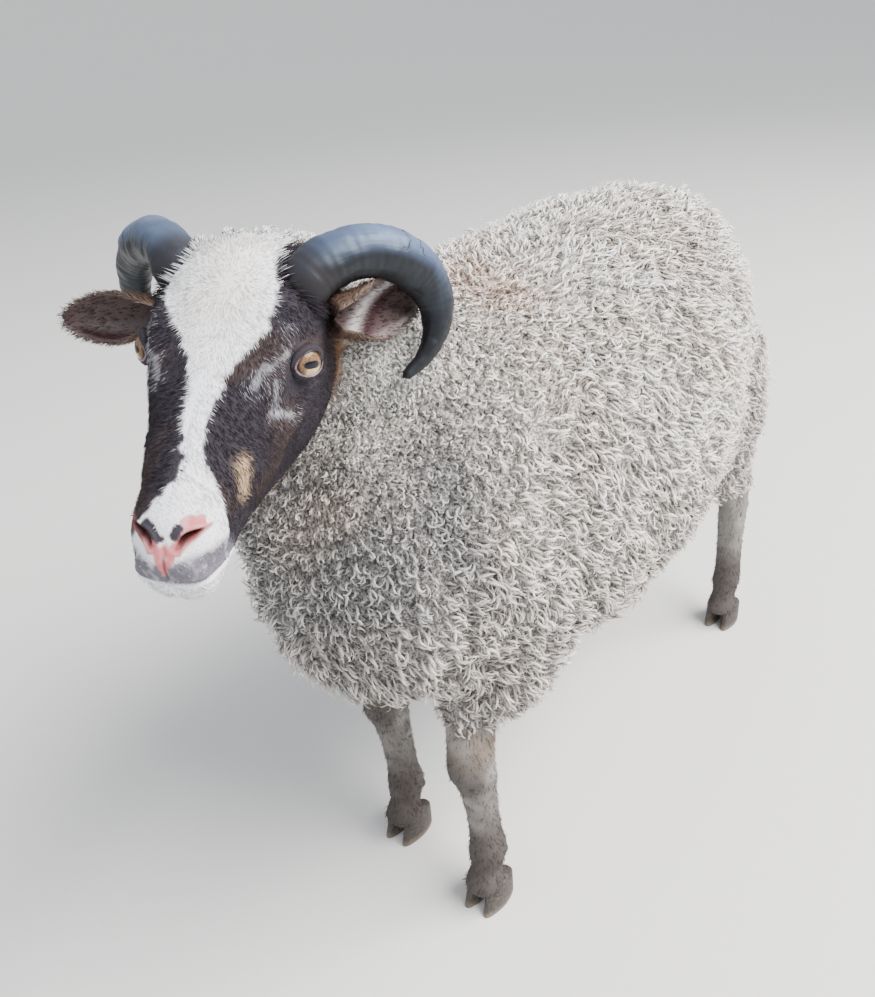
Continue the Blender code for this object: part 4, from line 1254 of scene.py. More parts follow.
def eyePaint():
    # across and up are the places on the front of the ball, 1 at the edge of the iris
    paint = Paint("eyeball", 0.03, Specular_IOR_Level=0.20)
    across, up, front = paint.point("across"), paint.point("up"), paint.point("front")
    reach = (across * across + up * up) ** 0.5
    threads = paint.noise(0.0011, 4.0)
    brown = paint.blend(rgb(0.095, 0.055, 0.028), rgb(0.20, 0.125, 0.065), threads.within(0.35, 0.65))
    pale = paint.blend(rgb(0.44, 0.30, 0.150), rgb(0.62, 0.48, 0.290), threads.within(0.35, 0.65))
    amber = paint.blend(brown, pale, up.within(-0.05, -0.42) * across.within(0.62, 0.20))
    amber = paint.blend(amber, rgb(0.030, 0.013, 0.009), reach.within(0.76, 0.94))
    bar = (across.size() * 1.70) ** 3.2 + (up.size() * 3.7) ** 2.2
    iris = paint.blend(rgb(0.005, 0.006, 0.012), amber, bar.within(0.80, 1.20))
    white = paint.blend(
        rgb(0.030, 0.018, 0.018), rgb(0.34, 0.250, 0.280), across.within(0.95, 1.10) * (0.6 + 0.5 * threads),
    )
    colour = paint.blend(iris, white, reach.within(0.98, 1.08))
    return paint.finish(paint.blend(white, colour, front))


def rimPaint():
    paint = Paint("lidRim", 0.30, Specular_IOR_Level=0.35)
    mottle = paint.noise(0.0022, 3.0)
    colour = paint.blend(rgb(0.10, 0.062, 0.085), rgb(0.26, 0.175, 0.215), mottle.within(0.3, 0.7))
    colour = paint.blend(rgb(0.020, 0.013, 0.018), colour, paint.point("rosy"))
    return paint.finish(colour, mottle, 0.0003, 0.5)


def floorPaint():
    paint = Paint("studioFloor", 0.85)
    speck = paint.noise(0.0040, 3.0)
    return paint.finish(paint.shade(rgb(0.70, 0.695, 0.685), 0.96 + 0.08 * speck), speck, 0.0004, 0.3)


wool, hair, hide = woolPaint(), hairPaint(), skinPaint()


# Skin: one closed hide from muzzle to hooves

skin = buildSkin()
skinTriangles = trianglesOf(skin)


def skinValues(points):
    inHead = intoHead(points)
    inFace = onHead(inHead, 0.0045)
    faceWool = np.where(inFace, woolStarts(inHead), 1.0)
    leg = legShare(points) * ~inFace
    fleece = np.clip(faceWool - leg, 0, 1)
    colour = towards(faceMarks(inHead), legMarks(points), leg[..., None])
    # darker under the wool: painted shade, at 0.6 of the wool's colour
    colour = towards(colour, woolMarks(points) * 0.60, fleece[..., None])
    share = eyeShare(inHead)[0]
    colour = layered(colour, "dark", inFace * ease(share, 1.75, 1.35))
    bare = np.where(inFace, np.maximum(noseShape(inHead), ease(share, 1.25, 1.10)), 0.0)
    return colour, fleece, bare


skinPoints = np.empty(len(skin.data.vertices) * 3, np.float32)
skin.data.vertices.foreach_get("co", skinPoints)
skinPoints = skinPoints.reshape(-1, 3).astype(float) - homeShift
skinColour, skinFleece, skinBare = skinValues(skinPoints)
setValues(skin.data, {
    "coat": opaque(skinColour), "fleece": skinFleece, "bare": skinBare,
})
skin.data.shade_smooth()
skin.data.materials.clear()
dress(skin, hide, "fleece", "torso", "neck", "tail", "head", *legs["feet"])
print("skin:", len(skinTriangles), "triangles")


# Horns

horns = {
    "root": (0.0233, 0.0468, -0.0172), "bed": (0.032, 0.030, -0.036),
    "outward": (-0.309, -0.568, 0.763), "sweep": (-0.596, 0.741, 0.310),
    "drift": (-0.741 * 0.0591, -0.359 * 0.0591, -0.567 * 0.0591),
    "turn": 177.0, "curl": (0.0540, 0.0701),
    "flareWay": (0.500, 0.194, 0.844), "flare": {"left": 0.055, "right": 0.012},
    "radii": (0.0194, 0.0190, 0.0188, 0.0184, 0.0160, 0.0118, 0.0080, 0.0030),
    "stoutness": {"left": 1.0, "right": 0.92},
    "settle": {"left": (0, 0, 0), "right": (0.0, -0.003, -0.008)},
    "rings": 150, "bedRings": 7, "sides": 48, "ripples": 30, "ripple": 0.00010,
}


def hornPath(t, word):
    curl = towards(*horns["curl"], t)
    angle = np.radians(horns["turn"]) * t
    outwards, sweep = np.array(horns["outward"]), np.array(horns["sweep"])
    bent = outwards * np.cos(angle)[:, None] + sweep * np.sin(angle)[:, None]
    settle = np.array(horns["settle"][word]) * np.minimum(1, 2.5 * t)[:, None]
    flare = np.array(horns["flareWay"]) * horns["flare"][word] * np.clip(2 * t - 1, 0, None)[:, None] ** 1.5
    path = np.array(horns["root"]) - outwards * horns["curl"][0] + bent * curl[:, None]
    return path + np.array(horns["drift"]) * t[:, None] + settle + flare


def carriedAxes(path):
    # a side direction carried along a path without twisting
    along = unit(np.gradient(path, axis=0))
    side = np.empty_like(path)
    side[0] = unit(np.cross(along[0], (0.3, 0.2, 0.9)))
    for k in range(1, len(path)):
        side[k] = unit(side[k - 1] - along[k] * (side[k - 1] @ along[k]))
    return side, np.cross(along, side)


def hornRadii(t, word):
    return evenly(horns["radii"], t) * horns["stoutness"][word]


def hoops(path, side, up, angles, radii):
    # round rings about a path
    c, s = np.cos(angles)[None, :, None], np.sin(angles)[None, :, None]
    return path[:, None] + (side[:, None] * c + up[:, None] * s) * radii[:, None, None]


def sideFlip(word):
    # what turns a place on the left of the head into its mirror image for the right
    return np.array((1.0, 1.0 if word == "left" else -1.0, 1.0))


def buildHorn(word, seed):
    t = np.linspace(0, 1, horns["rings"])
    path = np.linspace(horns["bed"], hornPath(t[:1], word)[0], horns["bedRings"] + 1)[:-1]
    path = np.vstack([path, hornPath(t, word)])
    along = np.concatenate([np.zeros(horns["bedRings"]), t])
    radii = hornRadii(along, word)
    angles = fullTurn(horns["sides"])
    rings = hoops(path, *carriedAxes(path), angles, radii)
    phase = along * horns["ripples"] * 2 * math.pi + 1.2 * wobble(path * 30, 1.0, seed)
    swell = np.sin(phase)[:, None] * ease(along, 0.97, 0.80)[:, None]
    lift = horns["ripple"] * swell + 0.0005 * wobble(rings, 0.014, seed)
    lift = lift + 0.0003 * wobble(rings, 0.006, seed + 1)
    rings = rings + unit(rings - path[:, None]) * lift[..., None]
    last = path[-1] + unit(path[-1] - path[-2]) * radii[-1] * 1.2
    flip = sideFlip(word)
    points, faces = loftMesh(rings, rings[0].mean(0), last)
    if word == "right":
        faces = faces[:, ::-1]
    upper = (unit(rings - path[:, None]) * flip) @ headTurn.T
    around = [np.tile(wave(angles), len(path)) for wave in (np.cos, np.sin)]
    grain = np.stack([*around, np.repeat(along * 0.7, len(angles))], -1)
    values = {
        "along": np.append(np.repeat(along, len(angles)), (0, 1)),
        "upper": np.append(upper[..., 2].ravel(), (0, 0)), "grain": np.vstack([grain, np.zeros((2, 3))]),
    }
    obj = meshObject(f"horn{word.title()}", fromHead(points * flip), faces, values)
    dress(obj, hornFinish, "horn", f"horn_{word}")


hornFinish = hornPaint()
buildHorn("left", 81)
buildHorn("right", 84)
print("horns: made")


# Wool: flat curved locks gathered into staples, with finer locks and strays over them

fleece = {
    "clump": 0.0200, "neckClump": 0.0120,      # spacing of the staples
    "pitch": 0.0049, "neckPitch": 0.0040, "facePitch": 0.0033,   # spacing of the locks
    "bodyLength": (0.014, 0.022), "neckLength": (0.0095, 0.015), "hemLength": (0.019, 0.028),
    "haloLength": (0.0065, 0.0105), "legLength": (0.011, 0.016), "tailLength": (0.014, 0.020),
    "half": 0.0019, "neckHalf": 0.0014, "haloHalf": 0.0011, "flat": 0.36, "fineHalf": 0.00042,
    "sink": 0.003, "bulge": 0.0072,
    "bodyTurn": (0.7, 2.8), "neckTurn": (3.0, 5.4),   # how far a lock curls, in radians
    "ripple": 0.30, "gather": 0.30, "neckGather": 0.15,
    "clearance": (0.0008, 0.0030),     # height over the hide near the root and at the tip
    "points": 5, "neckPoints": 6, "finePoints": 4, "fineShare": 0.42,
}


def woolLie(places, normals):
    # down from the middle of the back and towards the rump, and away from the face
    sign = np.where(places[:, 1] < 0, -1.0, 1.0)
    body = np.stack([np.full(len(sign), -0.75), 0.35 * sign, np.full(len(sign), -0.70)], -1)
    front = np.stack([np.full(len(sign), -0.15), 0.30 * sign, np.full(len(sign), -1.0)], -1)
    ahead = pastShoulder(places)
    lie = towards(body, front, ease(ahead, -0.06, 0.05)[:, None])
    back = ease(normals[:, 2], 0.80, 0.97)[:, None]
    drift = np.stack([wobble(places, 0.06, 51), wobble(places, 0.06, 52), 0 * sign], -1)
    lie = lie + back * (np.array((-0.5, 0, 0)) + 0.9 * drift)
    away = places - fromHead(np.array((0.06, 0.0, -0.06)))
    near = ease(np.linalg.norm(away, axis=1), 0.165, 0.090)[:, None]
    lie = lie * (1 - near) + near * (unit(away) * 1.6 + (-0.3, 0, -0.35))
    return overSkin(lie + 0.45 * wobbles(places, 0.045, (53, 54, 55)), normals)


def hornClear(points, spare):
    # whether places in the sheep's own axes keep clear of both horns
    inHead = intoHead(points)
    clear = np.ones(len(points), bool)
    t = np.linspace(0, 1, 40)
    for word in ("left", "right"):
        for place, radius in zip(hornPath(t, word) * sideFlip(word), hornRadii(t, word)):
            away = inHead - place
            clear &= dot(away, away) > (radius + spare) ** 2
    return clear


def woolRoots(draw):
    # places for locks over the fleece, closer on the neck and round the face
    places, normals = scatter(skinTriangles, 420000, draw)
    inHead = intoHead(places)
    inFace = onHead(inHead, 0.0045)
    cover = np.where(inFace, woolStarts(inHead), 1.0) * (1 - legShare(places))
    keep = draw.random(len(places)) < cover
    places, normals, inFace = places[keep], normals[keep], inFace[keep]
    ahead = pastShoulder(places)
    curly = ease(ahead, -0.08, 0.04) * ease(places[:, 2], 0.28, 0.40)
    halo = ease(np.linalg.norm(places - fromHead(np.array((0.04, 0.0, -0.06))), axis=1), 0.125, 0.095)
    halo = np.maximum.reduce([halo, inFace, besideFace(places)])
    pitch = towards(fleece["pitch"], fleece["neckPitch"], curly)
    pitch = towards(pitch, fleece["facePitch"], halo)
    hidden = (normals[:, 2] < -0.6) & (places[:, 2] < 0.32)
    pitch = pitch * np.where(hidden, 1.5, 1.0)
    kept = spaced(places, pitch)
    clump = towards(fleece["clump"], fleece["neckClump"], np.maximum(curly, halo))
    centres = spaced(places, clump)
    return places, normals, curly, halo, inFace, kept, centres, clump


def nearestTwo(places, centres):
    # the nearest of the centres, and how far it and the next one are
    tree = KDTree(len(centres))
    for k, centre in enumerate(centres):
        tree.insert(centre, k)
    tree.balance()
    found = [tree.find_n(place, 2) for place in places]
    which = np.array([pair[0][1] for pair in found])
    return which, np.array([pair[0][2] for pair in found]), np.array([pair[1][2] for pair in found])


def lifted(lines, low, high):
    # raises the points of centre lines that would dip into the hide
    faces = np.arange(len(skinTriangles) * 3).reshape(-1, 3)
    tree = BVHTree.FromPolygons(skinTriangles.reshape(-1, 3), faces)
    for row in range(1, lines.shape[1]):
        least = low + (high - low) * row / (lines.shape[1] - 1)
        for k, place in enumerate(lines[:, row]):
            foot, normal, _, _ = tree.find_nearest(place)
            short = least - normal.dot(Vector(place) - foot)
            if short > 0:
                lines[k, row] += np.array(normal) * short
    return lines


def growWool():
    draw = np.random.default_rng(5)
    places, normals, curly, halo, inFace, kept, middles, clump = woolRoots(draw)
    centres, centreNormals = places[middles], normals[middles]
    centreLies = woolLie(centres, centreNormals)
    which, near, far = nearestTwo(places[kept], centres)
    spread = clump[middles][which]
    # 1 in the middle of a staple, falling to 0 on the crease between two
    crease = ease((far - near) / spread, 0.0, 0.50)
    bulge = fleece["bulge"] * np.clip(1 - (near / (0.62 * spread)) ** 2, 0, 1)
    places, normals, curly, halo, inFace = (v[kept] for v in (places, normals, curly, halo, inFace))
    count = len(places)
    sleeve = ease(places[:, 2], 0.33, 0.26) * (np.abs(places[:, 1]) > 0.03)
    isTail = ease(places[:, 0], -0.400, -0.415) * (np.abs(places[:, 1]) < 0.045) * (places[:, 2] > 0.43)

    # what all the locks of a staple share
    staples = len(middles)
    each = lambda low, high: draw.uniform(low, high, staples)[which]
    rank = draw.random(staples)[which]
    lean, leanTip = each(0.30, 0.80), each(1.40, 1.72)
    phase = each(0, 2 * math.pi)
    hand = np.where(wobble(centres, 0.03, 57) + draw.normal(0, 0.7, staples) > 0, 1.0, -1.0)[which]
    tone = each(0.88, 1.10)

    def length(name):
        low, high = fleece[name]
        return towards(low, high, np.clip(0.75 * rank + 0.25 * draw.random(count), 0, 1))

    reach = length("bodyLength")
    reach = towards(reach, length("neckLength"), curly)
    hem = ease(places[:, 2], 0.34, 0.28)
    reach = towards(reach, length("hemLength"), hem, places[:, 0] > -0.2, 1 - 0.8 * sleeve)
    reach = towards(reach, length("legLength"), sleeve)
    reach = towards(reach, length("tailLength"), isTail)
    reach = towards(reach, length("haloLength"), halo)
    turn = each(*fleece["bodyTurn"])
    turn = towards(turn, each(*fleece["neckTurn"]), curly) * hand
    turn = turn * np.where(draw.random(count) < 0.30, -1.0, 1.0)

    def lines(points, jitter, longer, lift):
        # the locks' centre lines, drawn together towards their staple's own line
        t = np.linspace(0, 1, points)[None]
        own = lambda amount: draw.normal(0, amount, count)
        leans = lean + own(0.10 * jitter) - lift
        leanTips = leanTip + own(0.10 * jitter) - 0.5 * lift
        heading = (turn + own(0.30 * jitter))[:, None] * (t ** 1.3 - 0.35) + own(0.55 * jitter)[:, None]
        heading = heading + fleece["ripple"] * np.sin(9.0 * t + (phase + own(0.4 * jitter))[:, None])
        size = reach * longer * draw.uniform(0.85, 1.12, count)
        bend = size, leans, leanTips, points, fleece["sink"], heading
        mine = bentLines(places, normals, overSkin(centreLies[which], normals), *bend)
        guide = bentLines(centres[which], centreNormals[which], centreLies[which], *bend)
        gather = towards(fleece["gather"], fleece["neckGather"], curly)
        joined = towards(mine, guide, (gather[:, None] * t ** 1.3)[..., None])
        return lifted(joined + (normals * bulge[:, None])[:, None], *fleece["clearance"]), t

    # painted shade in the creases between staples: locks darken towards low there, deeper on the curly neck
    low = 0.52 - 0.26 * curly
    # near the face the crease shade is left out and the cream locks are lightened further, partly painted light
    marks = tone * (low + (1.06 - low) * np.maximum(crease, 0.8 * halo)) * (1 + 0.40 * halo)
    marks = woolMarks(places) * marks[:, None]
    half = towards(fleece["half"], fleece["neckHalf"], curly)
    half = towards(half, fleece["haloHalf"], halo)
    unwrap = np.stack([places[:, 0], np.arctan2(places[:, 1], places[:, 2] - 0.46) * 0.2], -1)

    def lay(name, paths, widths, flat, colours, strands):
        clear = ~onHead(intoHead(paths[:, -1]), 0.001) | inFace
        clear &= paths[..., 2].min(1) > 0.19
        clear &= hornClear(paths[:, -1], 0.0012) & hornClear(paths[:, paths.shape[1] // 2], 0.0012)
        clear &= widths[:, 0] > 0
        chosen = np.flatnonzero(clear)
        ups = unit(normals + 0.30 * draw.normal(size=normals.shape))
        tuftPiece(
            name, paths[chosen], widths[chosen], flat, ups[chosen], np.clip(colours[chosen], 0, 0.95),
            unwrap[chosen], wool, "fleece", strands,
        )
        return len(chosen)

    made = 0
    isNeck = curly > 0.5
    vary = lambda low, high: draw.uniform(low, high, count)[:, None]
    for name, points, mine in (("woolBody", "points", ~isNeck), ("woolNeck", "neckPoints", isNeck)):
        paths, t = lines(fleece[points], 1.0, 1.0, 0.0)
        shape = np.sin(math.pi * np.clip(0.22 + 0.80 * t, 0, 1)) ** 0.8
        widths = mine[:, None] * half[:, None] * vary(0.75, 1.2) * shape
        made += lay(name, paths, widths, fleece["flat"], marks * vary(0.84, 1.20), 2.0)
        paths, t = lines(fleece["finePoints"], 1.8, 1.10, 0.16)
        mine = mine & (draw.random(count) < fleece["fineShare"])
        widths = mine[:, None] * fleece["fineHalf"] * vary(0.7, 1.3) * (1 - 0.5 * t ** 1.5)
        made += lay(name + "Fine", paths, widths, 0.8, marks * vary(1.00, 1.45), 0.0)
    print("wool:", staples, "staples,", made, "locks")


growWool()


# Face hair

faceHair = {
    "count": 26000, "length": (0.0042, 0.0070), "width": 0.00027, "flat": 0.7, "sink": 0.0006,
    "poll": (0.009, 0.015), "chin": (0.005, 0.009), "nose": (0.0022, 0.0036), "hornFringe": (0.011, 0.017),
    "whorl": (0.045, 0.0),
}


def faceLie(points, normals):
    # the way the hair lies in the head's axes: out from a whorl on the forehead, down and back on the
    # cheeks, up and back at the poll, and outward over the nose
    x, y, z = points[..., 0], points[..., 1], points[..., 2]
    away = points - np.array((faceHair["whorl"][0], faceHair["whorl"][1], 0.0))
    fan = unit(away * (1.0, 1.25, 1.0))
    muzzle = np.stack([np.full(len(x), 0.25), np.sign(y) * 0.9, np.full(len(x), -0.15)], -1)
    cheek = np.stack([np.full(len(x), -0.55), 0 * y, np.full(len(x), -0.85)], -1)
    lower = ease(z, -0.020, -0.050)[:, None]
    ahead = ease(x, 0.095, 0.150)[:, None]
    lie = fan + (muzzle * 0.8 + (0.25, 0, -0.3) - fan) * ahead
    lie = towards(lie, cheek, lower, 1 - 0.6 * ahead)
    lie = lie + 0.28 * wobbles(points, 0.018, (61, 62, 63))
    return overSkin(lie, normals)


def growFaceHair():
    draw = np.random.default_rng(7)
    rings, first, last = headGrid
    points, faces = loftMesh(rings, first, last)
    places, normals = scatter(points[faces], faceHair["count"] * 2, draw)
    inHead, headNormals = intoHead(places), normals @ headTurn
    share = eyeShare(inHead)[0]
    away, openShare = mouthDistance(inHead)
    keep = (share > 1.45) & (inHead[:, 0] > -0.03) & (woolStarts(inHead) < 0.85)
    keep &= noseShape(inHead) < draw.uniform(0.05, 0.75, len(share))
    keep &= (nostrilShare(inHead) > 1.9) & ((np.abs(away) > 0.0012) | (openShare < 0.5))
    lip = (inHead[:, 0] > 0.212) & (away > 0) & (away < 0.010) & (inHead[:, 2] < -0.018)
    keep &= ~lip | (draw.random(len(share)) < 0.60)
    keep &= hornClear(places, -0.002)
    order = np.flatnonzero(keep)[: faceHair["count"]]
    places, normals, inHead, headNormals, share, away = (
        v[order] for v in (places, normals, inHead, headNormals, share, away)
    )
    x, z = inHead[:, 0], inHead[:, 2]
    count = len(order)
    lies = faceLie(inHead, headNormals) @ headTurn.T
    pick = lambda name: draw.uniform(*faceHair[name], count)
    length = pick("length")
    length = length + (pick("poll") - length) * ease(x, 0.035, -0.005) * ease(z, -0.050, -0.010)
    chin = ease(away, -0.001, -0.004) * ease(x, 0.175, 0.200)
    length = towards(length, pick("chin"), chin)
    length = length + (pick("nose") - length) * ease(x, 0.190, 0.212) * (1 - chin)
    length = length * (1 - 0.45 * ease(share, 2.8, 1.7))
    fringe = ~hornClear(places, 0.007)
    length = np.where(fringe, pick("hornFringe"), length)
    lean = draw.uniform(0.98, 1.22, count)
    lean = lean - 0.30 * ease(x, 0.020, -0.010) - 0.30 * fringe
    leanTip = draw.uniform(1.42, 1.56, count)
    lines = bentLines(places, normals, lies, length, lean, leanTip, 3, faceHair["sink"])
    widths = hairWidths(faceHair["width"], count, draw)
    widths = widths * (1 + 0.4 * ease(length, 0.010, 0.020))[:, None]
    colours = faceMarks(inHead, draw.normal(0, 0.0009, count), draw.random(count))
    colours = colours * draw.uniform(0.80, 1.22, count)[:, None]
    angle = np.arctan2(inHead[:, 1], inHead[:, 2] + 0.05)
    tuftPiece(
        "faceHair", lines, widths, faceHair["flat"], normals, np.clip(colours, 0, 0.9),
        np.stack([x, angle * 0.05], -1), hair, "face_hair",
    )
    print("face:", count, "tufts")


growFaceHair()


# Leg hair

legHair = {
    "count": 6500, "length": (0.006, 0.010), "coronet": (0.008, 0.013), "width": 0.00038, "sink": 0.0006,
}


def growLegHair():
    draw = np.random.default_rng(8)
    middles = skinTriangles.mean(1)
    shown = (legShare(middles) > 0.05) & (middles[:, 2] > 0.026) & ~onHead(intoHead(middles), 0.0045)
    places, normals = scatter(skinTriangles[shown], legHair["count"], draw)
    count = len(places)
    lies = np.array((-0.15, 0.0, -1.0)) + 0.25 * wobbles(places, 0.02, (64, 65, 66))
    lies = overSkin(lies, normals)
    length = draw.uniform(*legHair["length"], count)
    coronet = draw.uniform(*legHair["coronet"], count)
    length = towards(length, coronet, ease(places[:, 2], 0.046, 0.034))
    lean, leanTip = draw.uniform(1.0, 1.2, count), draw.uniform(1.38, 1.52, count)
    lines = bentLines(places, normals, lies, length, lean, leanTip, 3, legHair["sink"])
    widths = hairWidths(legHair["width"], count, draw)
    colours = legMarks(places) * draw.uniform(0.65, 1.45, count)[:, None]
    nearest, away = nearestFoot(places)
    unwrap = np.stack([nearest * 0.12 + np.arctan2(away[:, 1], away[:, 0]) * 0.016, places[:, 2]], -1)
    tuftPiece("legHair", lines, widths, 0.7, normals, colours, unwrap, hair, "leg_hair")
    print("legs:", count, "tufts")


growLegHair()


# Ears

ears = {
    "left": ((0.034, 0.054, -0.046), (-0.022, 0.110, -0.088), (0.34, 0.78, 0.53)),
    "right": ((0.046, 0.052, -0.040), (0.049, 0.143, -0.055), (0.60, 0.27, 0.74)),
    "breadth": {"left": 1.0, "right": 0.86},
    "sections": (
        # along the ear from 0 to 1, half width, half the angle that the cup wraps
        (0.00, 0.0125, 150), (0.18, 0.0165, 125), (0.36, 0.0195, 95), (0.55, 0.0200, 72),
        (0.74, 0.0165, 55), (0.90, 0.0105, 45), (1.00, 0.0030, 40),
    ),
    "thickness": 0.0030, "rings": 54, "bends": 33,
    "hairs": 1800, "length": (0.004, 0.008), "rim": (0.004, 0.008), "width": 0.00030, "sink": 0.0004,
    "back": (0.070, 0.042, 0.032), "inside": (0.082, 0.056, 0.056), "deep": (0.034, 0.010, 0.013),
    "edge": (0.165, 0.125, 0.105), "border": (0.23, 0.195, 0.190), "borderShare": {"left": 0.85, "right": 0.35},
    "ridge": (0.46, 0.44, 0.44), "ridgeShare": {"left": 0.95, "right": 0.10},
    "ridgePlace": {"left": 0.45, "right": 0.30}, "ridgeSlope": {"left": -2.8, "right": 0.0},
}


def earAxes(word):
    root, tip, opens = (np.array(v) for v in ears[word])
    along = unit(tip - root)
    opens = unit(opens - along * (opens @ along))
    return root, tip, along, opens, np.cross(along, opens)


def earSurface(word):
    # rings round the ear: out along its back from edge to edge, then home along the inside
    root, tip, _, opens, across = earAxes(word)
    t = 1 - (1 - np.linspace(0, 1, ears["rings"])) ** 1.25
    half, wrap = readTable(ears["sections"], t).T
    half, wrap = half * ears["breadth"][word], np.radians(wrap)
    radius = (half / np.sin(np.minimum(wrap, math.pi / 2)))[:, None, None]
    middle = towards(root, tip, t[:, None])
    middle = (middle + opens * radius[:, 0])[:, None]
    share = np.sin(np.linspace(-math.pi / 2, math.pi / 2, ears["bends"]))
    bends = (wrap[:, None] * share)[..., None]
    thick = ears["thickness"] * (1 - 0.45 * t)[:, None] / 2 * np.sqrt(np.clip(1 - share ** 6, 0.02, 1))
    curl = 0.0022 * np.sin(t * 7.0)[:, None, None] * (share[None, :, None] ** 2) * opens
    ways = across * np.sin(bends) - opens * np.cos(bends)
    outer = middle + ways * (radius + thick[..., None]) + curl
    inner = middle + ways * (radius - thick[..., None]) + curl
    rings = np.concatenate([outer, inner[:, ::-1]], 1)
    shares = np.concatenate([share, share[::-1]])
    insides = np.concatenate([np.zeros(len(share)), np.ones(len(share))])
    around = [np.tile(v, (len(t), 1)) for v in (shares, insides)]
    return rings, np.repeat(t[:, None], len(shares), 1), *around, tip


def earColour(word, t, share, inside):
    place = ears["ridgePlace"][word] + ears["ridgeSlope"][word] * (t - 0.2)
    border = ears["borderShare"][word] * inside * bell(share, 0.86, 0.16) * ease(t, 0.10, 0.35)
    ridge = ears["ridgeShare"][word] * inside * bell(share, place, 0.20) * ease(t, 0.05, 0.20)
    return marked(ears, "back", (len(t), 3), (
        ("inside", inside),
        ("edge", 0.75 * ease(np.abs(share), 0.92, 0.985)),
        ("border", border),
        ("deep", 0.9 * inside * bell(share - place, 0.42, 0.26) * ease(t, 0.95, 0.75)),
        ("ridge", ridge * ease(t, 0.95, 0.65)),
    ))


def buildEar(word, seed):
    rings, t, share, inside, tip = earSurface(word)
    points, faces = loftMesh(rings, rings[0].mean(0), tip)
    values = [np.append(v.ravel(), (v[0].mean(), v[-1].mean())) for v in (t, share, inside)]
    placed = fromHead(points * sideFlip(word))
    if word == "right":
        faces = faces[:, ::-1]
    obj = meshObject(f"ear{word.title()}", placed, faces, {
        "coat": opaque(earColour(word, *values)), "fleece": np.zeros(len(points)), "bare": 0.10 * values[2],
    })
    dress(obj, hide, "face_hair", f"ear_{word}")
    growEarHair(word, placed, faces, values, seed)


def growEarHair(word, points, faces, values, seed):
    draw = np.random.default_rng(seed)
    triangles = points[faces]
    cross = np.cross(triangles[:, 1] - triangles[:, 0], triangles[:, 2] - triangles[:, 0])
    area = np.linalg.norm(cross, axis=1)
    t, share, inside = (v[faces].mean(1) for v in values)
    weight = area * (0.5 + 5.0 * ease(np.abs(share), 0.88, 0.98) * (t > 0.1)) * (1 - 0.6 * inside * (t < 0.5))
    chosen = draw.choice(len(faces), ears["hairs"], p=weight / weight.sum())
    places = triangles[chosen].mean(1)
    normals = unit(cross[chosen])
    t, share, inside = t[chosen], share[chosen], inside[chosen]
    _, _, along, _, across = earAxes(word)
    tipward, outwards = ((way * sideFlip(word)) @ headTurn.T for way in (along, across))
    rim = ease(np.abs(share), 0.86, 0.97)
    lies = tipward + (rim * np.sign(share) * 0.8)[:, None] * outwards + 0.15 * draw.normal(size=(len(t), 3))
    lies = overSkin(lies, normals)
    length = draw.uniform(*ears["length"], len(t))
    length = towards(length, draw.uniform(*ears["rim"], len(t)), rim)
    lean, leanTip = draw.uniform(0.8, 1.2, len(t)), draw.uniform(1.25, 1.5, len(t))
    lines = bentLines(places, normals, lies, length, lean, leanTip, 3, ears["sink"])
    widths = hairWidths(ears["width"], len(t), draw)
    colours = earColour(word, t, share, inside) * draw.uniform(0.65, 1.4, len(t))[:, None]
    unwrap = np.stack([t * 0.08, share * 0.03 + inside * 0.08], -1)
    colours = np.clip(colours, 0, 0.9)
    tuftPiece(f"earHair{word.title()}", lines, widths, 0.7, normals, colours, unwrap, hair, "face_hair")


buildEar("left", 71)
buildEar("right", 72)
print("ears: made")


# Eyes: ball with a swollen cornea, and the moist rim of the lids

def fromEye(word, along, up, looks):
    places = np.array(eye["centre"]) + along[..., None] * eyeAlong + up[..., None] * eyeUp
    return fromHead((places + looks[..., None] * eyeLooks) * sideFlip(word))


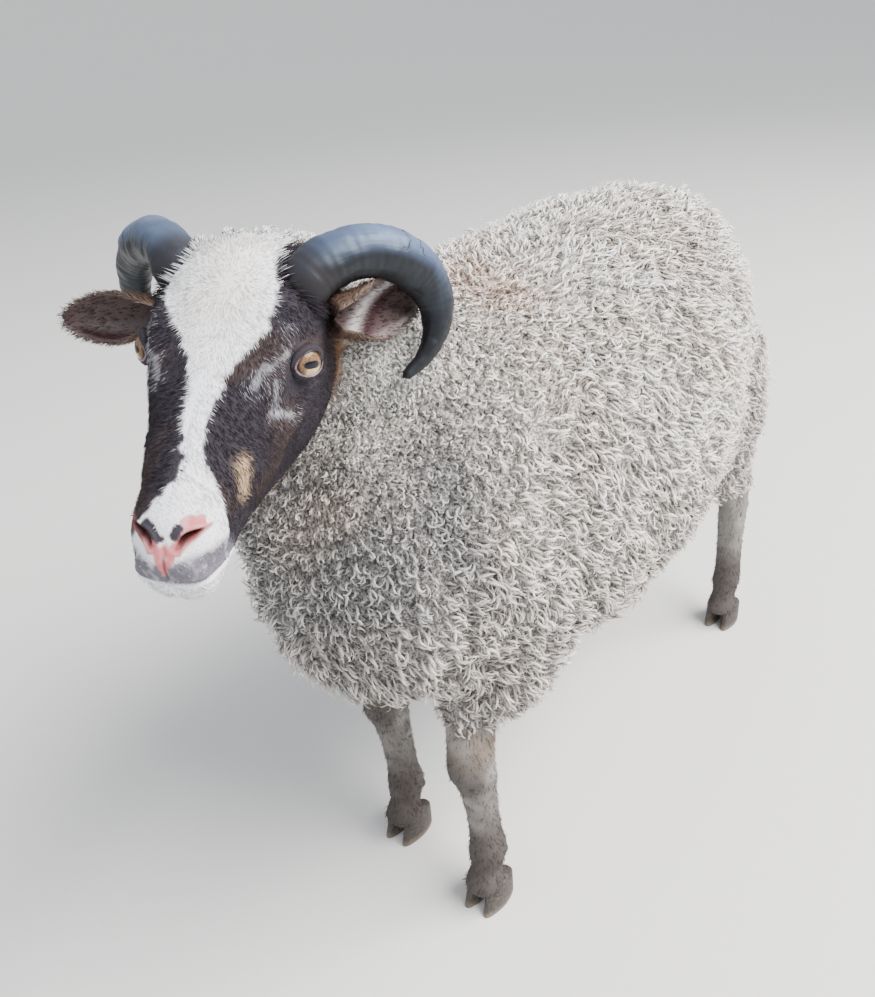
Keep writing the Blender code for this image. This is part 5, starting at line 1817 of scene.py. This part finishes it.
def buildEye(word, ballFinish, rimFinish):
    angles = fullTurn(72)
    bends = np.concatenate([np.linspace(0, 1.0, 44)[1:], np.linspace(1.0, math.pi, 24)[1:-1]])
    radius = eye["radius"] * np.ones(len(bends)) + 0.0006 * np.exp(-(bends / 0.70) ** 4)
    out = (radius * np.sin(bends))[:, None]
    along, up = out * np.cos(angles), out * np.sin(angles)
    looks = np.repeat((radius * np.cos(bends))[:, None], len(angles), 1)
    rings = fromEye(word, along, up, looks)
    pole = lambda reach: fromEye(word, np.zeros(1), np.zeros(1), np.array([reach]))[0]
    points, faces = loftMesh(rings, pole(radius[0]), pole(-radius[-1]))
    bar = math.radians(eye["barTurn"])
    across, over = along * math.cos(bar) + up * math.sin(bar), up * math.cos(bar) - along * math.sin(bar)
    values = {
        "across": np.append(across.ravel(), (0, 0)) / eye["iris"],
        "up": np.append(over.ravel(), (0, 0)) / eye["iris"],
        "front": np.append((looks > 0).ravel(), (True, False)).astype(float),
    }
    ball = meshObject(f"eyeball{word.title()}", points, faces, values)
    dress(ball, ballFinish, "eye", f"eye_{word}")
    # the rim follows the almond between the lids
    angles = fullTurn(120)
    c, s = np.cos(angles), np.sin(angles)
    tall = np.where(s > 0, eye["halfUp"], eye["halfDown"])
    # the radius at each angle where the almond's share is 1
    lows, highs = np.zeros(len(angles)), np.full(len(angles), 0.03)
    for _ in range(40):
        middle = (lows + highs) / 2
        inside = np.abs(middle * c / eye["halfLength"]) ** 2 + np.abs(middle * s / tall) ** 1.7 < 1
        lows, highs = np.where(inside, middle, lows), np.where(inside, highs, middle)
    path = onBall(lows * c, lows * s) * (eye["radius"] + 0.0006)
    ahead = unit(np.roll(path, -1, 0) - np.roll(path, 1, 0))
    out = unit(path)
    over = np.cross(ahead, out)
    spots = hoops(path, out, over, fullTurn(12), eye["rim"] * (1 + 0.35 * bell(c, 1, 0.2)))
    count, sides = spots.shape[:2]
    i, j = np.meshgrid(np.arange(count), np.arange(sides), indexing="ij")
    a, b = i * sides + j, i * sides + (j + 1) % sides
    after = ((i + 1) % count) * sides
    quads = np.stack([a, b, after + (j + 1) % sides, after + j], -1).reshape(-1, 4)
    placed = fromEye(word, *np.moveaxis(spots, -1, 0)).reshape(-1, 3)
    one = placed[quads[0]]
    middle = placed[: sides].mean(0)
    if dot(np.cross(one[1] - one[0], one[2] - one[0]), one.mean(0) - middle) < 0:
        quads = quads[:, ::-1]
    rosy = np.repeat(ease(s * 0.7 - c * 0.5, 0.35, -0.55), sides)
    rim = meshObject(f"lidRim{word.title()}", placed, quads, {"rosy": rosy})
    dress(rim, rimFinish, "face_hair")


eyeFinish, rimFinish = eyePaint(), rimPaint()
buildEye("left", eyeFinish, rimFinish)
buildEye("right", eyeFinish, rimFinish)
print("eyes: made")


# Hooves

claws = {
    "halfLength": 0.0265, "halfWidth": 0.0105, "cleft": 0.0030, "topScale": 0.80, "topBack": 0.0045,
    "height": 0.0307, "squareness": 2.4, "sides": 56, "rings": 22,
    "dewclawPlace": (-0.0215, 0.0088, 0.060), "dewclawHalf": (0.0058, 0.0044, 0.0075),
    "dewclawBack": 0.0022,
}


def buildClaw(name, word, side):
    x0, y0 = legs["feet"][name]
    out, over = corners(claws["squareness"], claws["sides"])
    toe = 1 - 0.35 * np.clip(out, 0, None)
    rings = []
    for share in np.concatenate([[0.0, 0.02, 0.05], np.linspace(0.1, 1.06, claws["rings"])]):
        scale = 1 - (1 - claws["topScale"]) * min(share, 1) + 0.012 * math.sin(share * 3.0)
        rounded = {0.0: 0.955, 0.02: 0.985}.get(share, 1.0) if share <= 1 else 0.90
        x = out * claws["halfLength"] * scale * rounded - claws["topBack"] * share
        x = x - 0.0012 * np.clip(out, 0, None) ** 3 * math.sin(math.pi * min(share, 1))
        half = claws["halfWidth"]
        y = claws["cleft"] / 2 + half + over * half * toe * (0.9 + 0.1 * scale) * rounded
        rings.append(np.stack([x0 + x, y0 + side * y, np.full(len(x), claws["height"] * share)], -1))
    rings = np.array(rings)
    points, faces = loftMesh(rings, rings[0].mean(0), rings[-1].mean(0))
    obj = meshObject(f"claw_{name}_{word}", points, faces, {"up": points[:, 2].copy()})
    dress(obj, hoofFinish, "hoof", f"hoof_{name}_{word}")


def buildDewclaws(name):
    x0, y0 = legs["feet"][name]
    bends, angles = np.linspace(0, math.pi, 20)[1:-1], fullTurn(28)
    half, back = np.array(claws["dewclawHalf"]), claws["dewclawBack"]
    for word, side in (("inner", -1), ("outer", 1)):
        centre = np.array((x0, y0, 0)) + np.array(claws["dewclawPlace"]) * (1, side, 1)
        ball = np.stack([
            np.sin(bends)[:, None] * np.cos(angles), np.sin(bends)[:, None] * np.sin(angles),
            np.repeat(np.cos(bends)[:, None], len(angles), 1),
        ], -1)
        swept = (back * ease(ball[..., 2], 0.4, -1.0))[..., None]
        rings = centre + ball * half - np.array((1, 0, 0)) * swept
        points, faces = loftMesh(rings, centre + (0, 0, half[2]), centre - (back, 0, half[2]))
        obj = meshObject(f"dewclaw_{name}_{word}", points, faces, {"up": points[:, 2] - 0.05})
        dress(obj, hoofFinish, "hoof")


hoofFinish = hoofPaint()
for name in legs["feet"]:
    away = 1 if legs["feet"][name][1] > 0 else -1
    buildClaw(name, "outer", away)
    buildClaw(name, "inner", -away)
    buildDewclaws(name)
print("hooves: made")


# Floor, light and camera

studio = {
    "floor": ((0.0, 0.0), (6.0, 0.0), (7.5, 0.14), (9.0, 0.62), (10.2, 1.50), (11.0, 2.80)),   # reach, height
    "sky": (0.90, 0.95, 1.0), "skyStrength": 0.88,
    # place, width and height, power, colour
    "key": ((-0.8, 2.5, 3.4), (4.4, 2.0), 670.0, (1.0, 0.965, 0.93)),
    "fill": ((3.2, -1.2, 2.4), (3.0, 3.0), 40.0, (0.93, 0.96, 1.0)),
}
camera = {
    "place": (0.805, 0.480, 0.892), "yaw": 216.8, "pitch": 28.6, "roll": 4.5,
    "focal": 951.5, "tall": 997.0,   # in pixels of the photograph
}


def buildFloor():
    # a round floor that sweeps up far behind the sheep
    table = np.array(studio["floor"])
    reach = np.concatenate([[1.5, 3.0, 4.5], np.linspace(6.0, table[-1, 0], 40)])
    height = np.clip(readTable(table, reach)[:, 0], 0, None)
    angles = fullTurn(160)
    rings = np.stack([
        reach[:, None] * np.cos(angles), reach[:, None] * np.sin(angles),
        np.repeat(height[:, None], len(angles), 1),
    ], -1)
    i, j = np.meshgrid(np.arange(len(reach) - 1), np.arange(len(angles)), indexing="ij")
    a, b = (i * len(angles) + j).ravel(), (i * len(angles) + (j + 1) % len(angles)).ravel()
    k = np.arange(len(angles))
    faces = np.vstack([
        np.stack([a, a + len(angles), b + len(angles)], -1), np.stack([a, b + len(angles), b], -1),
        np.stack([k, (k + 1) % len(angles), np.full(len(k), rings[..., 0].size)], -1),
    ])
    floor = meshObject("studioFloor", np.vstack([rings.reshape(-1, 3), (0, 0, 0)]) - homeShift, faces)
    floor.data.materials.append(floorPaint().material)


def aim(obj, place, look, up):
    # stands an object at a place with its -z axis along look
    back = -unit(np.asarray(look, float))
    right = unit(np.cross(up, back))
    turn = np.column_stack([right, np.cross(back, right), back])
    obj.matrix_world = Matrix.Translation(place) @ Matrix(turn.tolist()).to_4x4()


def buildLight(name):
    place, size, power, colour = studio[name]
    lamp = bpy.data.lights.new(name, "AREA")
    lamp.shape = "RECTANGLE"
    lamp.size, lamp.size_y = size
    lamp.energy, lamp.color = power, colour
    obj = bpy.data.objects.new(name, lamp)
    bpy.context.scene.collection.objects.link(obj)
    aim(obj, place, np.array((0.1, 0.0, 0.55)) - place, (0, 0, 1))


def buildWorld():
    world = bpy.data.worlds.new("studio")
    world.use_nodes = True
    world.node_tree.nodes["Background"].inputs["Color"].default_value = (*studio["sky"], 1)
    world.node_tree.nodes["Background"].inputs["Strength"].default_value = studio["skyStrength"]
    bpy.context.scene.world = world


def buildCamera():
    yaw, pitch, roll = (math.radians(camera[key]) for key in ("yaw", "pitch", "roll"))
    look = np.array((math.cos(yaw) * math.cos(pitch), math.sin(yaw) * math.cos(pitch), -math.sin(pitch)))
    left = np.array((-math.sin(yaw), math.cos(yaw), 0.0))
    up = np.cross(look, left)
    up = math.cos(roll) * up - math.sin(roll) * left
    lens = bpy.data.cameras.new("camera")
    lens.sensor_fit = "AUTO"
    lens.sensor_width = 36.0
    lens.lens = camera["focal"] / camera["tall"] * 36.0
    lens.clip_start, lens.clip_end = 0.02, 100.0
    obj = bpy.data.objects.new("camera", lens)
    bpy.context.scene.collection.objects.link(obj)
    aim(obj, np.array(camera["place"]) + homeShift, look, up)
    bpy.context.scene.camera = obj


buildFloor()
buildLight("key")
buildLight("fill")
buildWorld()
buildCamera()
print("studio: set")
